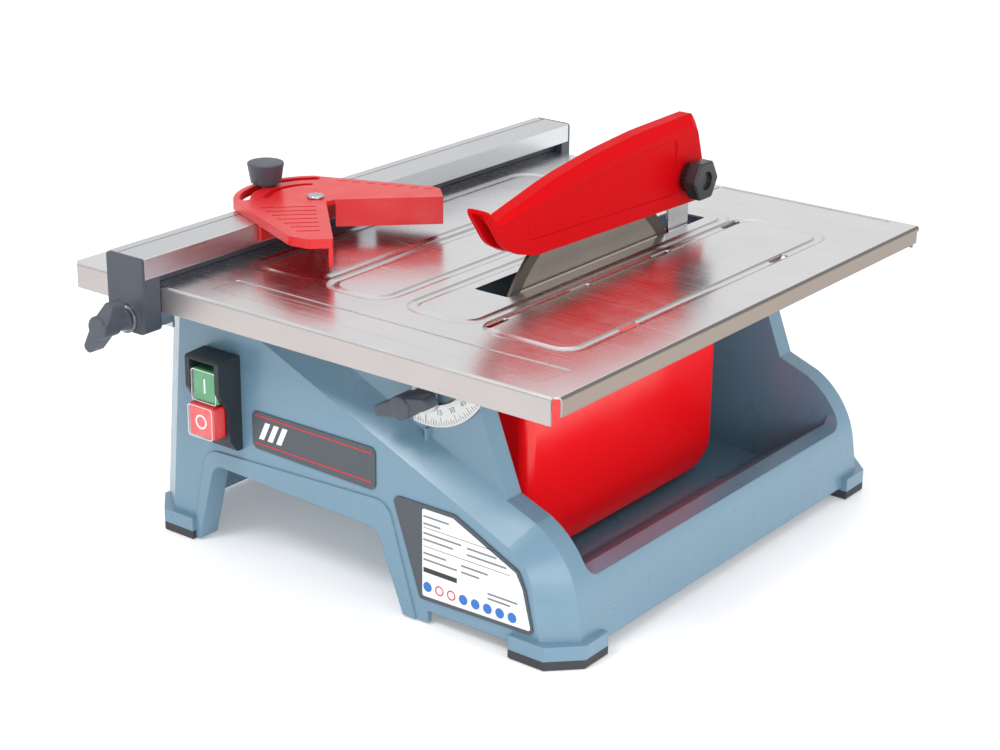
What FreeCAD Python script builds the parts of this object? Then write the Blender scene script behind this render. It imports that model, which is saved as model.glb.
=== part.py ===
"""Electric wet tile cutter with a tilting table, a rip fence and a mitre guide.

Millimetres. The origin is on the floor under the middle of the table. +X points to the water trough,
-Y to the front with the switch, +Z up. Each node is written to its own STEP file.
"""

import FreeCAD
import Part
import math
import os

V = FreeCAD.Vector
X_AXIS = V(1, 0, 0)
Y_AXIS = V(0, 1, 0)
Z_AXIS = V(0, 0, 1)
ORIGIN = V(0, 0, 0)

# ---------------------------------------------------------------- driving dimensions

# Table
TABLE_HALF_X = 182.7
TABLE_HALF_Y = 200.0
TABLE_TOP = 175.3
SHEET = 1.2
FLANGE = 15.8
SIDE_FLANGE = 11.0
NOTCH = 4.2
TABLE_CORNER = 2.5
SLOT_LEFT = 39.0
SLOT_RIGHT = 64.5
SLOT_FRONT = -86.5
SLOT_BACK = 126.0

# Tilt: the table swings about a line along Y, from level to 45 degrees
TILT_X = 61.5
TILT_Z = 164.0
TILT_DEGREES = 45.0
SCALE_R = 46.7
SCALE_LEFT = 9.0
POINTER_LOW = 106.5
POINTER_TOP = 115.5
BEVEL_R = 29.2
BRACKET_T = 2.0
BRACKET_Y = 156.6

# Base housing
WALL = 3.0
LEG_LOW = 1.5
PAD_TOP = 6.0
BLOCK_TOP = 15.0
RIM_Z = 172.6
WALL_Y = 156.0
PAD_Y = 172.0
TROUGH_Y = 142.0
TROUGH_FLOOR = 13.0
TROUGH_RIM = 46.5
PARTITION_LEFT = 27.0
PARTITION_RIGHT = 30.0
FOOT_X = 41.6
FOOT_Y = 38.8
FOOT_STRIP = 16.7
FOOT_SIDE = 8.0
FOOT_LEFT = -155.0
FOOT_RIGHT = 176.2
FOOT_OUT_Y = 175.7
FOOT_CHAMFER = 17.0

# Motor and blade
SHAFT_Z = 118.3
SHAFT_R = 7.5
MOTOR_R = 50.0
BLADE_X = 61.5
BLADE_R = 100.0
BLADE_T = 2.2
CORE_T = 1.8
RIM_WIDTH = 8.0
BORE_R = 12.7
BOLT_CIRCLE = 46.5

# Lower blade cover
COVER_RIGHT = 93.0
COVER_Y = 103.6
COVER_WALL = 2.3

# Blade guard
GUARD_HALF = 7.2
GUARD_WALL = 3.0
GUARD_BEVEL = 3.0
GUARD_Y = 95.0
GUARD_Z = 210.0

# Fence
FENCE_LEFT = -136.0
FENCE_RIGHT = -106.0
FENCE_LOW = 181.5
FENCE_TOP = 194.8
FENCE_FRONT = 212.0
FENCE_BACK = 207.7
CAP_T = 2.0
STRIP_BACK = 202.5
CAP_LOW = 148.0
CLAMP_X = -121.0
CLAMP_Z = 156.0
CLAMP_BOLT_R = 3.0
JAW_BACK = -187.2
WASHER = 1.6

# Mitre guide
MITRE_X = -103.0
MITRE_Y = -67.5
MITRE_ANGLE = 45.0
MITRE_LOW = 183.0
MITRE_PLATE_LOW = 197.8
MITRE_TOP = 200.8
MITRE_KNOB_H = 15.0
MITRE_R = 51.5
KNOB_R = 44.4
KNOB_ANGLE = 177.6
RIVET_R = 2.6
BRIDGE_HALF = 24.0
EAR_LOW = 190.6
RIM_LOW = 195.0
RIM_T = 2.6

# Switch
SWITCH_LEFT = -98.5
SWITCH_RIGHT = -70.7
BUTTON = 20.0
SWITCH_HOOD = 130.0
SWITCH_RECESS = -179.0
GREEN_LOW = 104.0
RED_LOW = 82.5

# Clearances between pieces
RUNNING = 0.05
FREE = 0.1
GAP = 0.3


# ---------------------------------------------------------------- shape helpers

PLANES = {
    "xy": (lambda a, b, level: V(a, b, level), Z_AXIS),
    "xz": (lambda a, b, level: V(a, level, b), Y_AXIS),
    "yz": (lambda a, b, level: V(level, a, b), X_AXIS),
}


def loop(points, plane, level):
    """Closed wire through (a, b) or (a, b, radius) points; a radius rounds that corner."""
    place = PLANES[plane][0]
    corners = []
    for i, point in enumerate(points):
        here = V(point[0], point[1], 0)
        radius = point[2] if len(point) > 2 else 0
        if not radius:
            corners.append((here, None, here))
            continue
        before = points[i - 1]
        after = points[(i + 1) % len(points)]
        a = (V(before[0], before[1], 0) - here).normalize()
        b = (V(after[0], after[1], 0) - here).normalize()
        half = a.getAngle(b) / 2
        reach = radius / math.tan(half)
        middle = here + (a + b).normalize() * (radius / math.sin(half) - radius)
        corners.append((here + a * reach, middle, here + b * reach))
    edges = []
    for i, (start, middle, end) in enumerate(corners):
        if middle is not None:
            arc = [place(p.x, p.y, level) for p in (start, middle, end)]
            edges.append(Part.Arc(*arc).toShape())
        following = corners[(i + 1) % len(corners)][0]
        if (following - end).Length > 1e-6:
            line = [place(p.x, p.y, level) for p in (end, following)]
            edges.append(Part.LineSegment(*line).toShape())
    return Part.Wire(edges)


def prism(points, plane, low, high):
    """Solid with the outline in one plane, from low to high along the plane's normal."""
    return Part.Face(loop(points, plane, low)).extrude(PLANES[plane][1] * (high - low))


def box(x0, x1, y0, y1, z0, z1):
    return Part.makeBox(x1 - x0, y1 - y0, z1 - z0, V(x0, y0, z0))


def rod(radius, start, end):
    """Round bar between two points."""
    along = end - start
    return Part.makeCylinder(radius, along.Length, start, along)


def cone(r0, r1, start, end):
    along = end - start
    return Part.makeCone(r0, r1, along.Length, start, along)


def tube(outer, inner, start, end):
    return rod(outer, start, end).cut(rod(inner, start, end))


def hexagon(across_flats, y, z, x0, x1):
    """Hexagonal bar along X."""
    r = across_flats / math.sqrt(3)
    angles = [math.radians(60 * i) for i in range(6)]
    return prism([(y + r * math.cos(a), z + r * math.sin(a)) for a in angles], "yz", x0, x1)


def arc_slot(cx, cy, radius, width, start, end, plane, low, high):
    """Curved slot with round ends, as the solid that fills it; angles in degrees."""
    place, normal = PLANES[plane]

    def at(r, degrees):
        a = math.radians(degrees)
        return cx + r * math.cos(a), cy + r * math.sin(a)

    def spot(point, tail=(0, 0)):
        return place(point[0] + tail[0], point[1] + tail[1], low)

    def tail(degrees, sign):
        a = math.radians(degrees + 90)
        return sign * width / 2 * math.cos(a), sign * width / 2 * math.sin(a)

    outer = radius + width / 2
    inner = radius - width / 2
    middle = (start + end) / 2
    edges = [
        Part.Arc(spot(at(outer, start)), spot(at(outer, middle)), spot(at(outer, end))).toShape(),
        Part.Arc(spot(at(outer, end)), spot(at(radius, end), tail(end, 1)), spot(at(inner, end))).toShape(),
        Part.Arc(spot(at(inner, end)), spot(at(inner, middle)), spot(at(inner, start))).toShape(),
        Part.Arc(spot(at(inner, start)), spot(at(radius, start), tail(start, -1)),
                 spot(at(outer, start))).toShape(),
    ]
    return Part.Face(Part.Wire(edges)).extrude(normal * (high - low))


def stadium(x, y, length, width, low, high):
    """Straight slot along Y with round ends, as the solid that fills it."""
    half = length / 2
    r = width / 2 - 0.01
    points = [(x - width / 2, y - half, r), (x + width / 2, y - half, r),
              (x + width / 2, y + half, r), (x - width / 2, y + half, r)]
    return prism(points, "xy", low, high)


def mirror_y(shape):
    return shape.mirror(ORIGIN, Y_AXIS)


def fuse(shapes):
    """One solid out of several that touch or overlap."""
    return shapes[0].multiFuse(shapes[1:]).removeSplitter()


def cut(shape, tools):
    """The shape without its tools, which are taken off one after another."""
    for tool in tools:
        shape = shape.cut(tool)
    return shape


def turned(shape, degrees):
    """The shape turned about the upward line through the mitre guide's pivot."""
    turned_shape = shape.copy()
    turned_shape.rotate(V(MITRE_X, MITRE_Y, 0), Z_AXIS, degrees)
    return turned_shape


def shaft_point(x, dy=0.0, dz=0.0):
    return V(x, dy, SHAFT_Z + dz)


# ---------------------------------------------------------------- base housing

def side_wires(level_a, level_b):
    """Outlines of the thick front pad: its foot on the wall and its smaller outer face."""
    def outline(apex, knee, bend, middle, low, toe, heel, level):
        p = [V(a, level, b) for a, b in (apex, knee, bend, middle, low, toe, heel)]
        return Part.Wire([
            Part.LineSegment(p[0], p[1]).toShape(),
            Part.LineSegment(p[1], p[2]).toShape(),
            Part.Arc(p[2], p[3], p[4]).toShape(),
            Part.LineSegment(p[4], p[5]).toShape(),
            Part.LineSegment(p[5], p[6]).toShape(),
            Part.LineSegment(p[6], p[0]).toShape(),
        ])

    foot = outline((-136.4, 200.9), (117.5, 85.5), (138.5, 77.5), (155.0, 64.4), (168.0, 37.0),
                   (173.6, LEG_LOW), (-154.9, LEG_LOW), level_a)
    face = outline((-118.0, 173.2), (104.0, 78.2), (131.0, 66.2), (143.2, 56.6), (148.5, 37.0),
                   (157.2, LEG_LOW), (-134.0, LEG_LOW), level_b)
    return foot, face


def middle_outline():
    """Side view of the housing between its two pads; its right end slopes for the tilted table."""
    p = [V(a, -WALL_Y, b) for a, b in (
        (-154.9, LEG_LOW), (-139.1, RIM_Z), (66.3, RIM_Z), (94.0, 144.9), (100.0, 130.0),
        (117.5, 85.5), (138.5, 77.5), (155.0, 64.4), (168.0, 37.0), (173.6, LEG_LOW))]
    edges = [Part.LineSegment(p[i], p[i + 1]).toShape() for i in range(6)]
    edges.append(Part.Arc(p[6], p[7], p[8]).toShape())
    edges.append(Part.LineSegment(p[8], p[9]).toShape())
    edges.append(Part.LineSegment(p[9], p[0]).toShape())
    return Part.Face(Part.Wire(edges)).extrude(Y_AXIS * (2 * WALL_Y))


def foot_outline(side):
    """Plan of one front foot, chamfered outside; side is -1 for the hooked left one, +1 right."""
    out = FOOT_LEFT if side < 0 else FOOT_RIGHT
    into = out - side * FOOT_X
    back = -FOOT_OUT_Y + FOOT_Y
    strip = -FOOT_OUT_Y + FOOT_STRIP
    outer = [(into, -FOOT_OUT_Y), (out - side * FOOT_CHAMFER, -FOOT_OUT_Y),
             (out, -FOOT_OUT_Y + FOOT_CHAMFER), (out, back)]
    if side > 0:
        return outer + [(into, back)]
    return outer + [(out + FOOT_SIDE, back), (out + FOOT_SIDE, strip), (into, strip)]


ARCH = [(-110.0, 0.0), (-95.3, 55.3, 9.0), (36.0, 50.9, 9.0), (56.5, 0.0)]
ARCH_JAMB = [(-113.0, 0.0), (-97.6, 58.4, 11.0), (38.0, 53.9, 11.0), (60.0, 0.0)]
ARCH_BAND = [(-116.0, LEG_LOW), (-101.5, 64.4, 13.0), (44.5, 69.9, 13.0), (65.2, LEG_LOW)]


def arch_cutters():
    """The low arch through each pad, front and back."""
    front = prism(ARCH, "xz", -PAD_Y - 5, -PAD_Y + WALL + 0.5)
    return [front, mirror_y(front)]


def arch_frames():
    """Raised band on the pad round the arch, and the jamb that turns in behind it."""
    band = prism(ARCH_BAND, "xz", -PAD_Y - 1.0, -PAD_Y + 0.5)
    jamb = prism(ARCH_JAMB, "xz", -PAD_Y + 1.0, -PAD_Y + 14.0)
    jamb = jamb.common(box(-130, 70, -PAD_Y, -PAD_Y + 14.0, LEG_LOW, 70))
    opening = prism(ARCH, "xz", -PAD_Y - 5, -PAD_Y + 20.0)
    front = [band.cut(opening), jamb.cut(opening)]
    return front + [mirror_y(piece) for piece in front]


def trough_cutters():
    """The water trough, which opens upwards and over its low rim on the right."""
    basin = prism([(PARTITION_RIGHT, TROUGH_FLOOR, 3.0), (108.0, TROUGH_FLOOR, 10.0), (155.0, 48.0),
                   (155.0, 250.0), (PARTITION_RIGHT, 250.0)], "xz", -TROUGH_Y, TROUGH_Y)
    mouth = prism([(-TROUGH_Y, TROUGH_RIM, 9.0), (TROUGH_Y, TROUGH_RIM, 9.0), (TROUGH_Y, 250.0),
                   (-TROUGH_Y, 250.0)], "yz", 150.0, 200.0)
    return [basin, mouth]


def hollow_cutters():
    """What is open from below: the motor bay, the double walls and the space under the slope."""
    bay = prism([(-152.0, 0.0), (-136.1, RIM_Z - WALL), (PARTITION_LEFT, RIM_Z - WALL),
                 (PARTITION_LEFT, 0.0)], "xz", -WALL_Y + WALL, WALL_Y - WALL)
    bay_front = prism([(-131.4, 0.0), (-116.2, 164.0), (-108.0, 165.0), (PARTITION_LEFT, 107.6),
                       (PARTITION_LEFT, 0.0)], "xz", -PAD_Y + WALL, -WALL_Y + WALL + 1.0)
    wall_left = PARTITION_RIGHT + WALL
    wall_low = prism([(wall_left, 0.0), (wall_left, 105.0), (102.0, 75.0), (130.0, 62.5), (141.0, 54.0),
                      (145.0, 37.0), (153.5, 0.0)], "xz", -PAD_Y + WALL, -TROUGH_Y - WALL)
    wall_high = prism([(wall_left, 0.0), (wall_left, 122.0), (94.0, 122.0), (114.0, 82.0),
                       (137.0, 73.5), (150.0, 63.0), (164.0, 36.0), (169.5, 0.0)],
                      "xz", -WALL_Y + WALL, -TROUGH_Y - WALL)
    slope = prism([(113.5, 0.0), (119.0, 15.0), (156.0, 42.5), (160.5, 42.5), (165.0, 35.0),
                   (170.0, 0.0)], "xz", -TROUGH_Y, TROUGH_Y)
    floor = box(PARTITION_LEFT, 113.5, -TROUGH_Y, TROUGH_Y, 0.0, TROUGH_FLOOR - WALL)
    gate = box(PARTITION_LEFT - 1, wall_left + 1, -PAD_Y + WALL, -TROUGH_Y - WALL, 0.0, 62.0)
    front = [bay_front, wall_low, wall_high, gate]
    return [bay, slope, floor] + front + [mirror_y(piece) for piece in front]


COVER_POSTS = [(-138.0, -100.0), (-138.0, 100.0), (16.0, -100.0), (16.0, 100.0)]
MOTOR_COVER_LOW = 58.0
MOTOR_COVER_T = 2.5
BLADE_COVER_SCREWS = [(-108.0, 78.0), (-108.0, 130.0), (108.0, 78.0), (108.0, 100.0)]
KNIFE_BRACKET_SCREWS = [(125.0, 122.0), (125.0, 140.0)]
GLAND_X = -110.0
GLAND_Z = 80.0


def base_housing():
    foot, face = side_wires(-WALL_Y + 0.01, -PAD_Y)
    pad = Part.makeLoft([foot, face], True, True)
    top_trim = box(-250, 250, -250, 250, RIM_Z, 320)
    pad = pad.cut(top_trim)
    body = middle_outline().multiFuse([pad, mirror_y(pad)])
    body = cut(body, hollow_cutters() + trough_cutters())
    blocks = []
    pockets = []
    for side in (-1, 1):
        block = prism(foot_outline(side), "xy", PAD_TOP, BLOCK_TOP)
        pocket = prism(foot_outline(side), "xy", 0.0, PAD_TOP)
        blocks += [block, mirror_y(block)]
        pockets += [pocket, mirror_y(pocket)]
    posts = [box(x - 9, x + 11 if x > 0 else x + 9, y - 8, y + 8, MOTOR_COVER_LOW + MOTOR_COVER_T, 74.0)
             for x, y in COVER_POSTS]
    body = body.multiFuse(blocks + posts)
    pointer = box(TILT_X - 0.8, TILT_X + 0.8, -WALL_Y - 3.0, -WALL_Y + 1.0, POINTER_LOW, POINTER_TOP)
    body = cut(body, arch_cutters()).multiFuse(arch_frames() + [pointer])
    lip = [box(74.0, FOOT_RIGHT - FOOT_X, y0, y1, 0.0, 9.0) for y0, y1 in ((-180, -150), (150, 180))]
    lip.append(box(150.0, 180.0, -FOOT_OUT_Y + FOOT_Y, FOOT_OUT_Y - FOOT_Y, 0.0, 8.5))
    body = cut(body, pockets + lip)
    holes = [rod(20.0, shaft_point(PARTITION_LEFT - 1), shaft_point(PARTITION_RIGHT + 1))]
    for dy, dz in bolt_spots():
        holes.append(rod(2.7, shaft_point(20, dy, dz), shaft_point(40, dy, dz)))
    for y, z in BLADE_COVER_SCREWS:
        holes.append(rod(2.1, V(20, y, z), V(40, y, z)))
    for y, z in KNIFE_BRACKET_SCREWS:
        holes.append(rod(3.1, V(20, y, z), V(40, y, z)))
    for x, y in COVER_POSTS:
        holes.append(rod(2.1, V(x, y, 50), V(x, y, 72)))
    for x, y in foot_screw_spots():
        holes.append(rod(2.1, V(x, y, 0), V(x, y, BLOCK_TOP)))
    for sign in (-1, 1):
        holes.append(rod(5.0 + FREE, V(TILT_X, sign * 130, TILT_Z), V(TILT_X, sign * 170, TILT_Z)))
        bevel_z = TILT_Z - BEVEL_R
        holes.append(rod(4.0 + FREE, V(TILT_X, sign * 130, bevel_z), V(TILT_X, sign * 170, bevel_z)))
    holes.append(box(-95.5, -73.7, -PAD_Y - 5, -PAD_Y + 10, 79.0, 126.5))
    holes.append(rod(8.0 + FREE, V(GLAND_X, 160, GLAND_Z), V(GLAND_X, 180, GLAND_Z)))
    return cut(body, holes).removeSplitter()


def foot_screw_spots():
    spots = []
    for out, side in ((FOOT_LEFT, 1), (FOOT_RIGHT, -1)):
        for sign in (-1, 1):
            spots.append((out + side * 26.0, sign * (FOOT_OUT_Y - FOOT_STRIP / 2)))
    return spots


def foot_pads():
    pads = []
    for side in (-1, 1):
        pad = prism(foot_outline(side), "xy", 0.0, PAD_TOP)
        pad = pad.makeChamfer(1.0, [e for e in pad.Edges if e.BoundBox.ZMax < 0.01])
        pads += [pad, mirror_y(pad)]
    for x, y in foot_screw_spots():
        well = rod(5.5, V(x, y, -1), V(x, y, 4.0))
        hole = rod(2.6, V(x, y, -1), V(x, y, 8.0))
        pads = [cut(pad, [well, hole]) for pad in pads]
    return pads


def foot_screws():
    screws = []
    for x, y in foot_screw_spots():
        head = rod(4.5, V(x, y, 1.5), V(x, y, 4.0))
        head = head.cut(rod(1.8, V(x, y, 1.0), V(x, y, 2.7)))
        screws.append(fuse([head, rod(2.0, V(x, y, 4.0), V(x, y, 13.5))]))
    return screws


def motor_cover():
    """Bottom plate of the motor bay with cooling slots under the fan."""
    plate = box(-145.0, PARTITION_LEFT - 0.5, -152.5, 152.5, MOTOR_COVER_LOW,
                MOTOR_COVER_LOW + MOTOR_COVER_T)
    tools = [stadium(-98.0 + 9 * i, 0, 60.0, 4.0, 50, 70) for i in range(6)]
    tools += [rod(2.2, V(x, y, 50), V(x, y, 70)) for x, y in COVER_POSTS]
    return cut(plate, tools)


def screw(radius, length, tip, direction):
    """Pan-head screw: tip is where the shank ends, direction points from the head to the tip."""
    d = V(direction).normalize()
    seat = tip - d * length
    top = seat - d * (radius * 1.1)
    head = rod(radius * 1.9, top, seat)
    cross = rod(radius * 0.8, top - d * 0.1, top + d * radius * 0.5)
    return fuse([head.cut(cross), rod(radius, seat, tip)])


def housing_screws():
    """Identical M4 screws: four hold the motor cover, four the blade cover."""
    screws = [screw(2.0, 12.0, V(x, y, 70.0), Z_AXIS) for x, y in COVER_POSTS]
    screws += [screw(2.0, 12.0, V(21.0, y, z), V(-1, 0, 0)) for y, z in BLADE_COVER_SCREWS]
    return screws


def blade_cover():
    """Open-topped red box round the lower half of the blade, with a slot below for the water."""
    right = COVER_RIGHT
    wide, room = COVER_Y, COVER_Y - COVER_WALL
    outer = prism([(-wide, 20.0, 30.0), (wide, 20.0, 30.0), (wide, 175.0), (-wide, 175.0)],
                  "yz", PARTITION_RIGHT, right)
    plan = prism([(PARTITION_RIGHT, -wide), (right, -wide, 8.0), (right, wide, 8.0),
                  (PARTITION_RIGHT, wide)], "xy", 0.0, 200.0)
    roof = prism([(0.0, 0.0), (right + 5, 0.0), (right + 5, 138.0), (66.0, 170.0), (0.0, 170.0)],
                 "xz", -120.0, 120.0)
    outer = outer.common(plan).common(roof)
    inner = prism([(-room, 23.0, 27.0), (room, 23.0, 27.0), (room, 200.0), (-room, 200.0)],
                  "yz", 20.0, right - WALL)
    slot = box(46.0, 77.0, -74.0, 74.0, 0.0, 40.0)
    knife_gate = box(TILT_X - 3.0, TILT_X + 3.0, 90.0, 110.0, 148.0, 200.0)
    tabs = [box(PARTITION_RIGHT, 33.0, min(y, y / 108 * 98), max(y, y / 108 * 98), z - 8, z + 8)
            .fuse(rod(8.0, V(PARTITION_RIGHT, y, z), V(33.0, y, z))) for y, z in BLADE_COVER_SCREWS]
    body = cut(outer, [inner, slot, knife_gate]).multiFuse(tabs)
    clear = [inner] + [rod(2.2, V(20, y, z), V(40, y, z)) for y, z in BLADE_COVER_SCREWS]
    return cut(body, clear).removeSplitter()


def cable_gland():
    """Gland for the mains lead in the back pad: a nut inside, a hexagon and a nose outside."""
    parts = [
        rod(8.0, V(GLAND_X, PAD_Y - WALL - 6, GLAND_Z), V(GLAND_X, PAD_Y, GLAND_Z)),
        rod(11.5, V(GLAND_X, PAD_Y, GLAND_Z), V(GLAND_X, PAD_Y + 3, GLAND_Z)),
        rod(9.0, V(GLAND_X, PAD_Y + 3, GLAND_Z), V(GLAND_X, PAD_Y + 9, GLAND_Z)),
        cone(8.0, 5.8, V(GLAND_X, PAD_Y + 9, GLAND_Z), V(GLAND_X, PAD_Y + 16, GLAND_Z)),
        rod(10.5, V(GLAND_X, PAD_Y - WALL - 4, GLAND_Z), V(GLAND_X, PAD_Y - WALL, GLAND_Z)),
    ]
    bore = rod(4.0, V(GLAND_X, PAD_Y - 15, GLAND_Z), V(GLAND_X, PAD_Y + 20, GLAND_Z))
    return fuse(parts).cut(bore)


def name_plate():
    return prism([(-61.3, 76.2, 4.0), (35.5, 74.0, 4.0), (35.5, 100.6, 4.0), (-61.3, 100.2, 4.0)],
                 "xz", -PAD_Y - 0.9, -PAD_Y)


def rating_plate():
    """Information plate, which follows the arch on its left and the end of the pad on its right."""
    points = [(68.5, 16.0, 2.0), (150.5, 18.0, 3.0), (144.5, 44.0, 6.0), (139.5, 54.5, 6.0),
              (94.0, 75.8, 6.0), (47.8, 75.8, 4.0)]
    return prism(points, "xz", -PAD_Y - 0.9, -PAD_Y)


# ---------------------------------------------------------------- switch

def switch_housing():
    """Hooded switch box on the front pad with a window for each button."""
    body = prism([(-PAD_Y, 72.0), (-PAD_Y, 133.0, 2.0), (-190.5, 132.0, 2.0), (-190.5, 112.0, 3.0),
                  (-182.5, 99.0, 5.0), (-182.5, 80.0, 4.0), (-177.0, 72.0, 3.0)],
                 "yz", SWITCH_LEFT, SWITCH_RIGHT)
    left = (SWITCH_LEFT + SWITCH_RIGHT - BUTTON) / 2 - GAP
    right = left + BUTTON + 2 * GAP
    windows = [box(left, right, -200.0, -160.0, low - GAP, low + BUTTON + GAP)
               for low in (GREEN_LOW, RED_LOW)]
    windows.append(box(left, right, -200.0, SWITCH_RECESS, RED_LOW, SWITCH_HOOD))
    return cut(body, windows).removeSplitter()


def switch_module():
    """The switch itself, behind the buttons and through the wall of the housing."""
    body = box(-95.0, -74.2, -PAD_Y + 0.1, -145.0, 79.5, 126.0)
    blades = [box(-90.0 + 9 * i, -84.0 + 9 * i, -145.0, -137.0, 100.0, 100.8) for i in range(2)]
    return body.multiFuse(blades)


def push_button(low, front):
    left = (SWITCH_LEFT + SWITCH_RIGHT - BUTTON) / 2
    cap = box(left, left + BUTTON, front, -176.0, low, low + BUTTON)
    front_edges = [e for e in cap.Edges if e.BoundBox.YMax < front + 0.01]
    return cap.makeFillet(1.5, front_edges)


def green_button():
    return push_button(GREEN_LOW, -188.5)


def red_button():
    return push_button(RED_LOW, -192.5)


# ---------------------------------------------------------------- motor

def bolt_spots():
    """Where the four through bolts stand round the shaft, as (dy, dz)."""
    r = BOLT_CIRCLE * math.sqrt(0.5)
    return [(r, r), (-r, r), (-r, -r), (r, -r)]


def bolt_holes(x0, x1):
    return [rod(2.7, shaft_point(x0, dy, dz), shaft_point(x1, dy, dz)) for dy, dz in bolt_spots()]


SHIELD_FRONT = (8.0, 27.0)
SHIELD_REAR = (-73.0, -50.0)
BEARING_R = 17.5
BEARING_T = 11.0
FRONT_BEARING_X = 14.0
REAR_BEARING_X = -71.0


def motor_front_shield():
    """Cup that closes the motor at the partition and holds the front bearing."""
    low, high = SHIELD_FRONT
    cup = rod(MOTOR_R, shaft_point(low), shaft_point(high))
    cup = cup.cut(rod(45.0, shaft_point(low - 1), shaft_point(21.0)))
    ears = [rod(6.0, shaft_point(low, dy * 0.94, dz * 0.94), shaft_point(high, dy * 0.94, dz * 0.94))
            for dy, dz in bolt_spots()]
    boss = rod(21.0, shaft_point(FRONT_BEARING_X), shaft_point(22.0))
    bore = [rod(BEARING_R + 0.02, shaft_point(FRONT_BEARING_X - 1), shaft_point(25.0)),
            rod(10.0, shaft_point(20.0), shaft_point(30.0))]
    body = cup.multiFuse([boss] + ears)
    return cut(body, bore + bolt_holes(0, 40)).removeSplitter()


def motor_rear_shield():
    low, high = SHIELD_REAR
    cup = rod(MOTOR_R, shaft_point(low), shaft_point(high))
    cup = cup.cut(rod(45.0, shaft_point(-67.0), shaft_point(high + 1)))
    ears = [rod(6.0, shaft_point(low, dy * 0.94, dz * 0.94), shaft_point(high, dy * 0.94, dz * 0.94))
            for dy, dz in bolt_spots()]
    boss = rod(21.0, shaft_point(-68.0), shaft_point(REAR_BEARING_X + BEARING_T))
    bore = [rod(BEARING_R + 0.02, shaft_point(REAR_BEARING_X), shaft_point(-55.0)),
            rod(10.0, shaft_point(-80.0), shaft_point(-60.0))]
    body = cup.multiFuse([boss] + ears)
    return cut(body, bore + bolt_holes(-90, -40)).removeSplitter()


def motor_stator():
    """Laminated ring with slots for the windings, clamped between the two shields."""
    ring = tube(MOTOR_R, 27.6, shaft_point(SHIELD_REAR[1]), shaft_point(SHIELD_FRONT[0]))
    slots = []
    for i in range(12):
        slot = box(SHIELD_REAR[1] - 1, SHIELD_FRONT[0] + 1, -2.5, 2.5, SHAFT_Z + 26, SHAFT_Z + 38)
        slot.rotate(shaft_point(0), X_AXIS, 30 * i)
        slots.append(slot)
    return cut(ring, slots + bolt_holes(-60, 20))


def motor_windings():
    """The two rings of copper at the ends of the stator."""
    front = tube(37.0, 30.0, shaft_point(SHIELD_FRONT[0]), shaft_point(19.0))
    rear = tube(37.0, 30.0, shaft_point(-61.0), shaft_point(SHIELD_REAR[1]))
    return [front, rear]


def motor_bearings():
    rings = []
    for x in (FRONT_BEARING_X, REAR_BEARING_X):
        rings.append(tube(BEARING_R, SHAFT_R + RUNNING, shaft_point(x), shaft_point(x + BEARING_T)))
    return rings


def motor_bolts():
    """Through bolts from the rear shield to the partition, each with its nut."""
    bolts = []
    for dy, dz in bolt_spots():
        head = hexagon(8.0, dy, SHAFT_Z + dz, SHIELD_REAR[0] - 4, SHIELD_REAR[0])
        shank = rod(2.5, shaft_point(SHIELD_REAR[0], dy, dz), shaft_point(37.0, dy, dz))
        nut = hexagon(8.0, dy, SHAFT_Z + dz, PARTITION_RIGHT, PARTITION_RIGHT + 4.5)
        bolts.append(fuse([head, shank, nut]))
    return bolts


def shaft_seal():
    """Rubber lip ring in the partition that keeps the water from the motor."""
    body = tube(20.0 - FREE, 11.0, shaft_point(PARTITION_LEFT), shaft_point(34.0))
    lip = tube(12.0, SHAFT_R + RUNNING, shaft_point(31.0), shaft_point(34.0))
    return fuse([body, lip])


def run_capacitor():
    z = MOTOR_COVER_LOW + MOTOR_COVER_T + 17.5
    can = rod(17.5, V(-108.0, 62.0, z), V(-108.0, 126.0, z))
    can = can.makeChamfer(2.0, [e for e in can.Edges if e.BoundBox.YLength < 0.01])
    tags = [box(-115.0 + 11 * i, -112.0 + 11 * i, 126.0, 132.0, z - 0.4, z + 0.4) for i in range(2)]
    return can.multiFuse(tags)


def motor_shaft():
    """Stepped shaft that carries the rotor, the fan and the blade."""
    steps = [
        rod(SHAFT_R, shaft_point(-90.0), shaft_point(44.0)),
        rod(10.0, shaft_point(44.0), shaft_point(52.0)),
        rod(6.0, shaft_point(52.0), shaft_point(83.0)),
    ]
    flat = box(53.0, 84.0, -8.0, 8.0, SHAFT_Z + 5.2, SHAFT_Z + 8.0)
    return fuse(steps).cut(flat)


def rotor_core():
    ring = tube(27.2, SHAFT_R, shaft_point(SHIELD_REAR[1]), shaft_point(SHIELD_FRONT[0]))
    rings = [tube(24.0, 16.0, shaft_point(8.0), shaft_point(12.0)),
             tube(24.0, 16.0, shaft_point(-54.0), shaft_point(-50.0))]
    return ring.multiFuse(rings).removeSplitter()


def cooling_fan():
    """Hub, back plate and eight straight vanes on the rear end of the shaft."""
    parts = [rod(12.0, shaft_point(-88.0), shaft_point(-76.0)),
             rod(30.0, shaft_point(-78.0), shaft_point(-76.0))]
    for i in range(8):
        vane = box(-87.0, -76.0, -1.0, 1.0, SHAFT_Z + 10, SHAFT_Z + 40)
        vane.rotate(shaft_point(0), X_AXIS, 45 * i)
        parts.append(vane)
    return fuse(parts).cut(rod(SHAFT_R, shaft_point(-95.0), shaft_point(-70.0)))


def inner_flange():
    """Flange behind the blade, with the boss that centres the blade's bore."""
    seat = BLADE_X - CORE_T / 2
    parts = [rod(25.0, shaft_point(seat - 5.5), shaft_point(seat)),
             rod(11.0, shaft_point(52.0), shaft_point(seat - 5.0)),
             rod(BORE_R, shaft_point(seat - 1.0), shaft_point(BLADE_X + CORE_T / 2 - 0.2))]
    relief = tube(20.0, 14.0, shaft_point(seat - 0.8), shaft_point(seat + 1))
    return cut(fuse(parts), [relief, rod(6.0 + FREE, shaft_point(50.0), shaft_point(70.0))])


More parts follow.
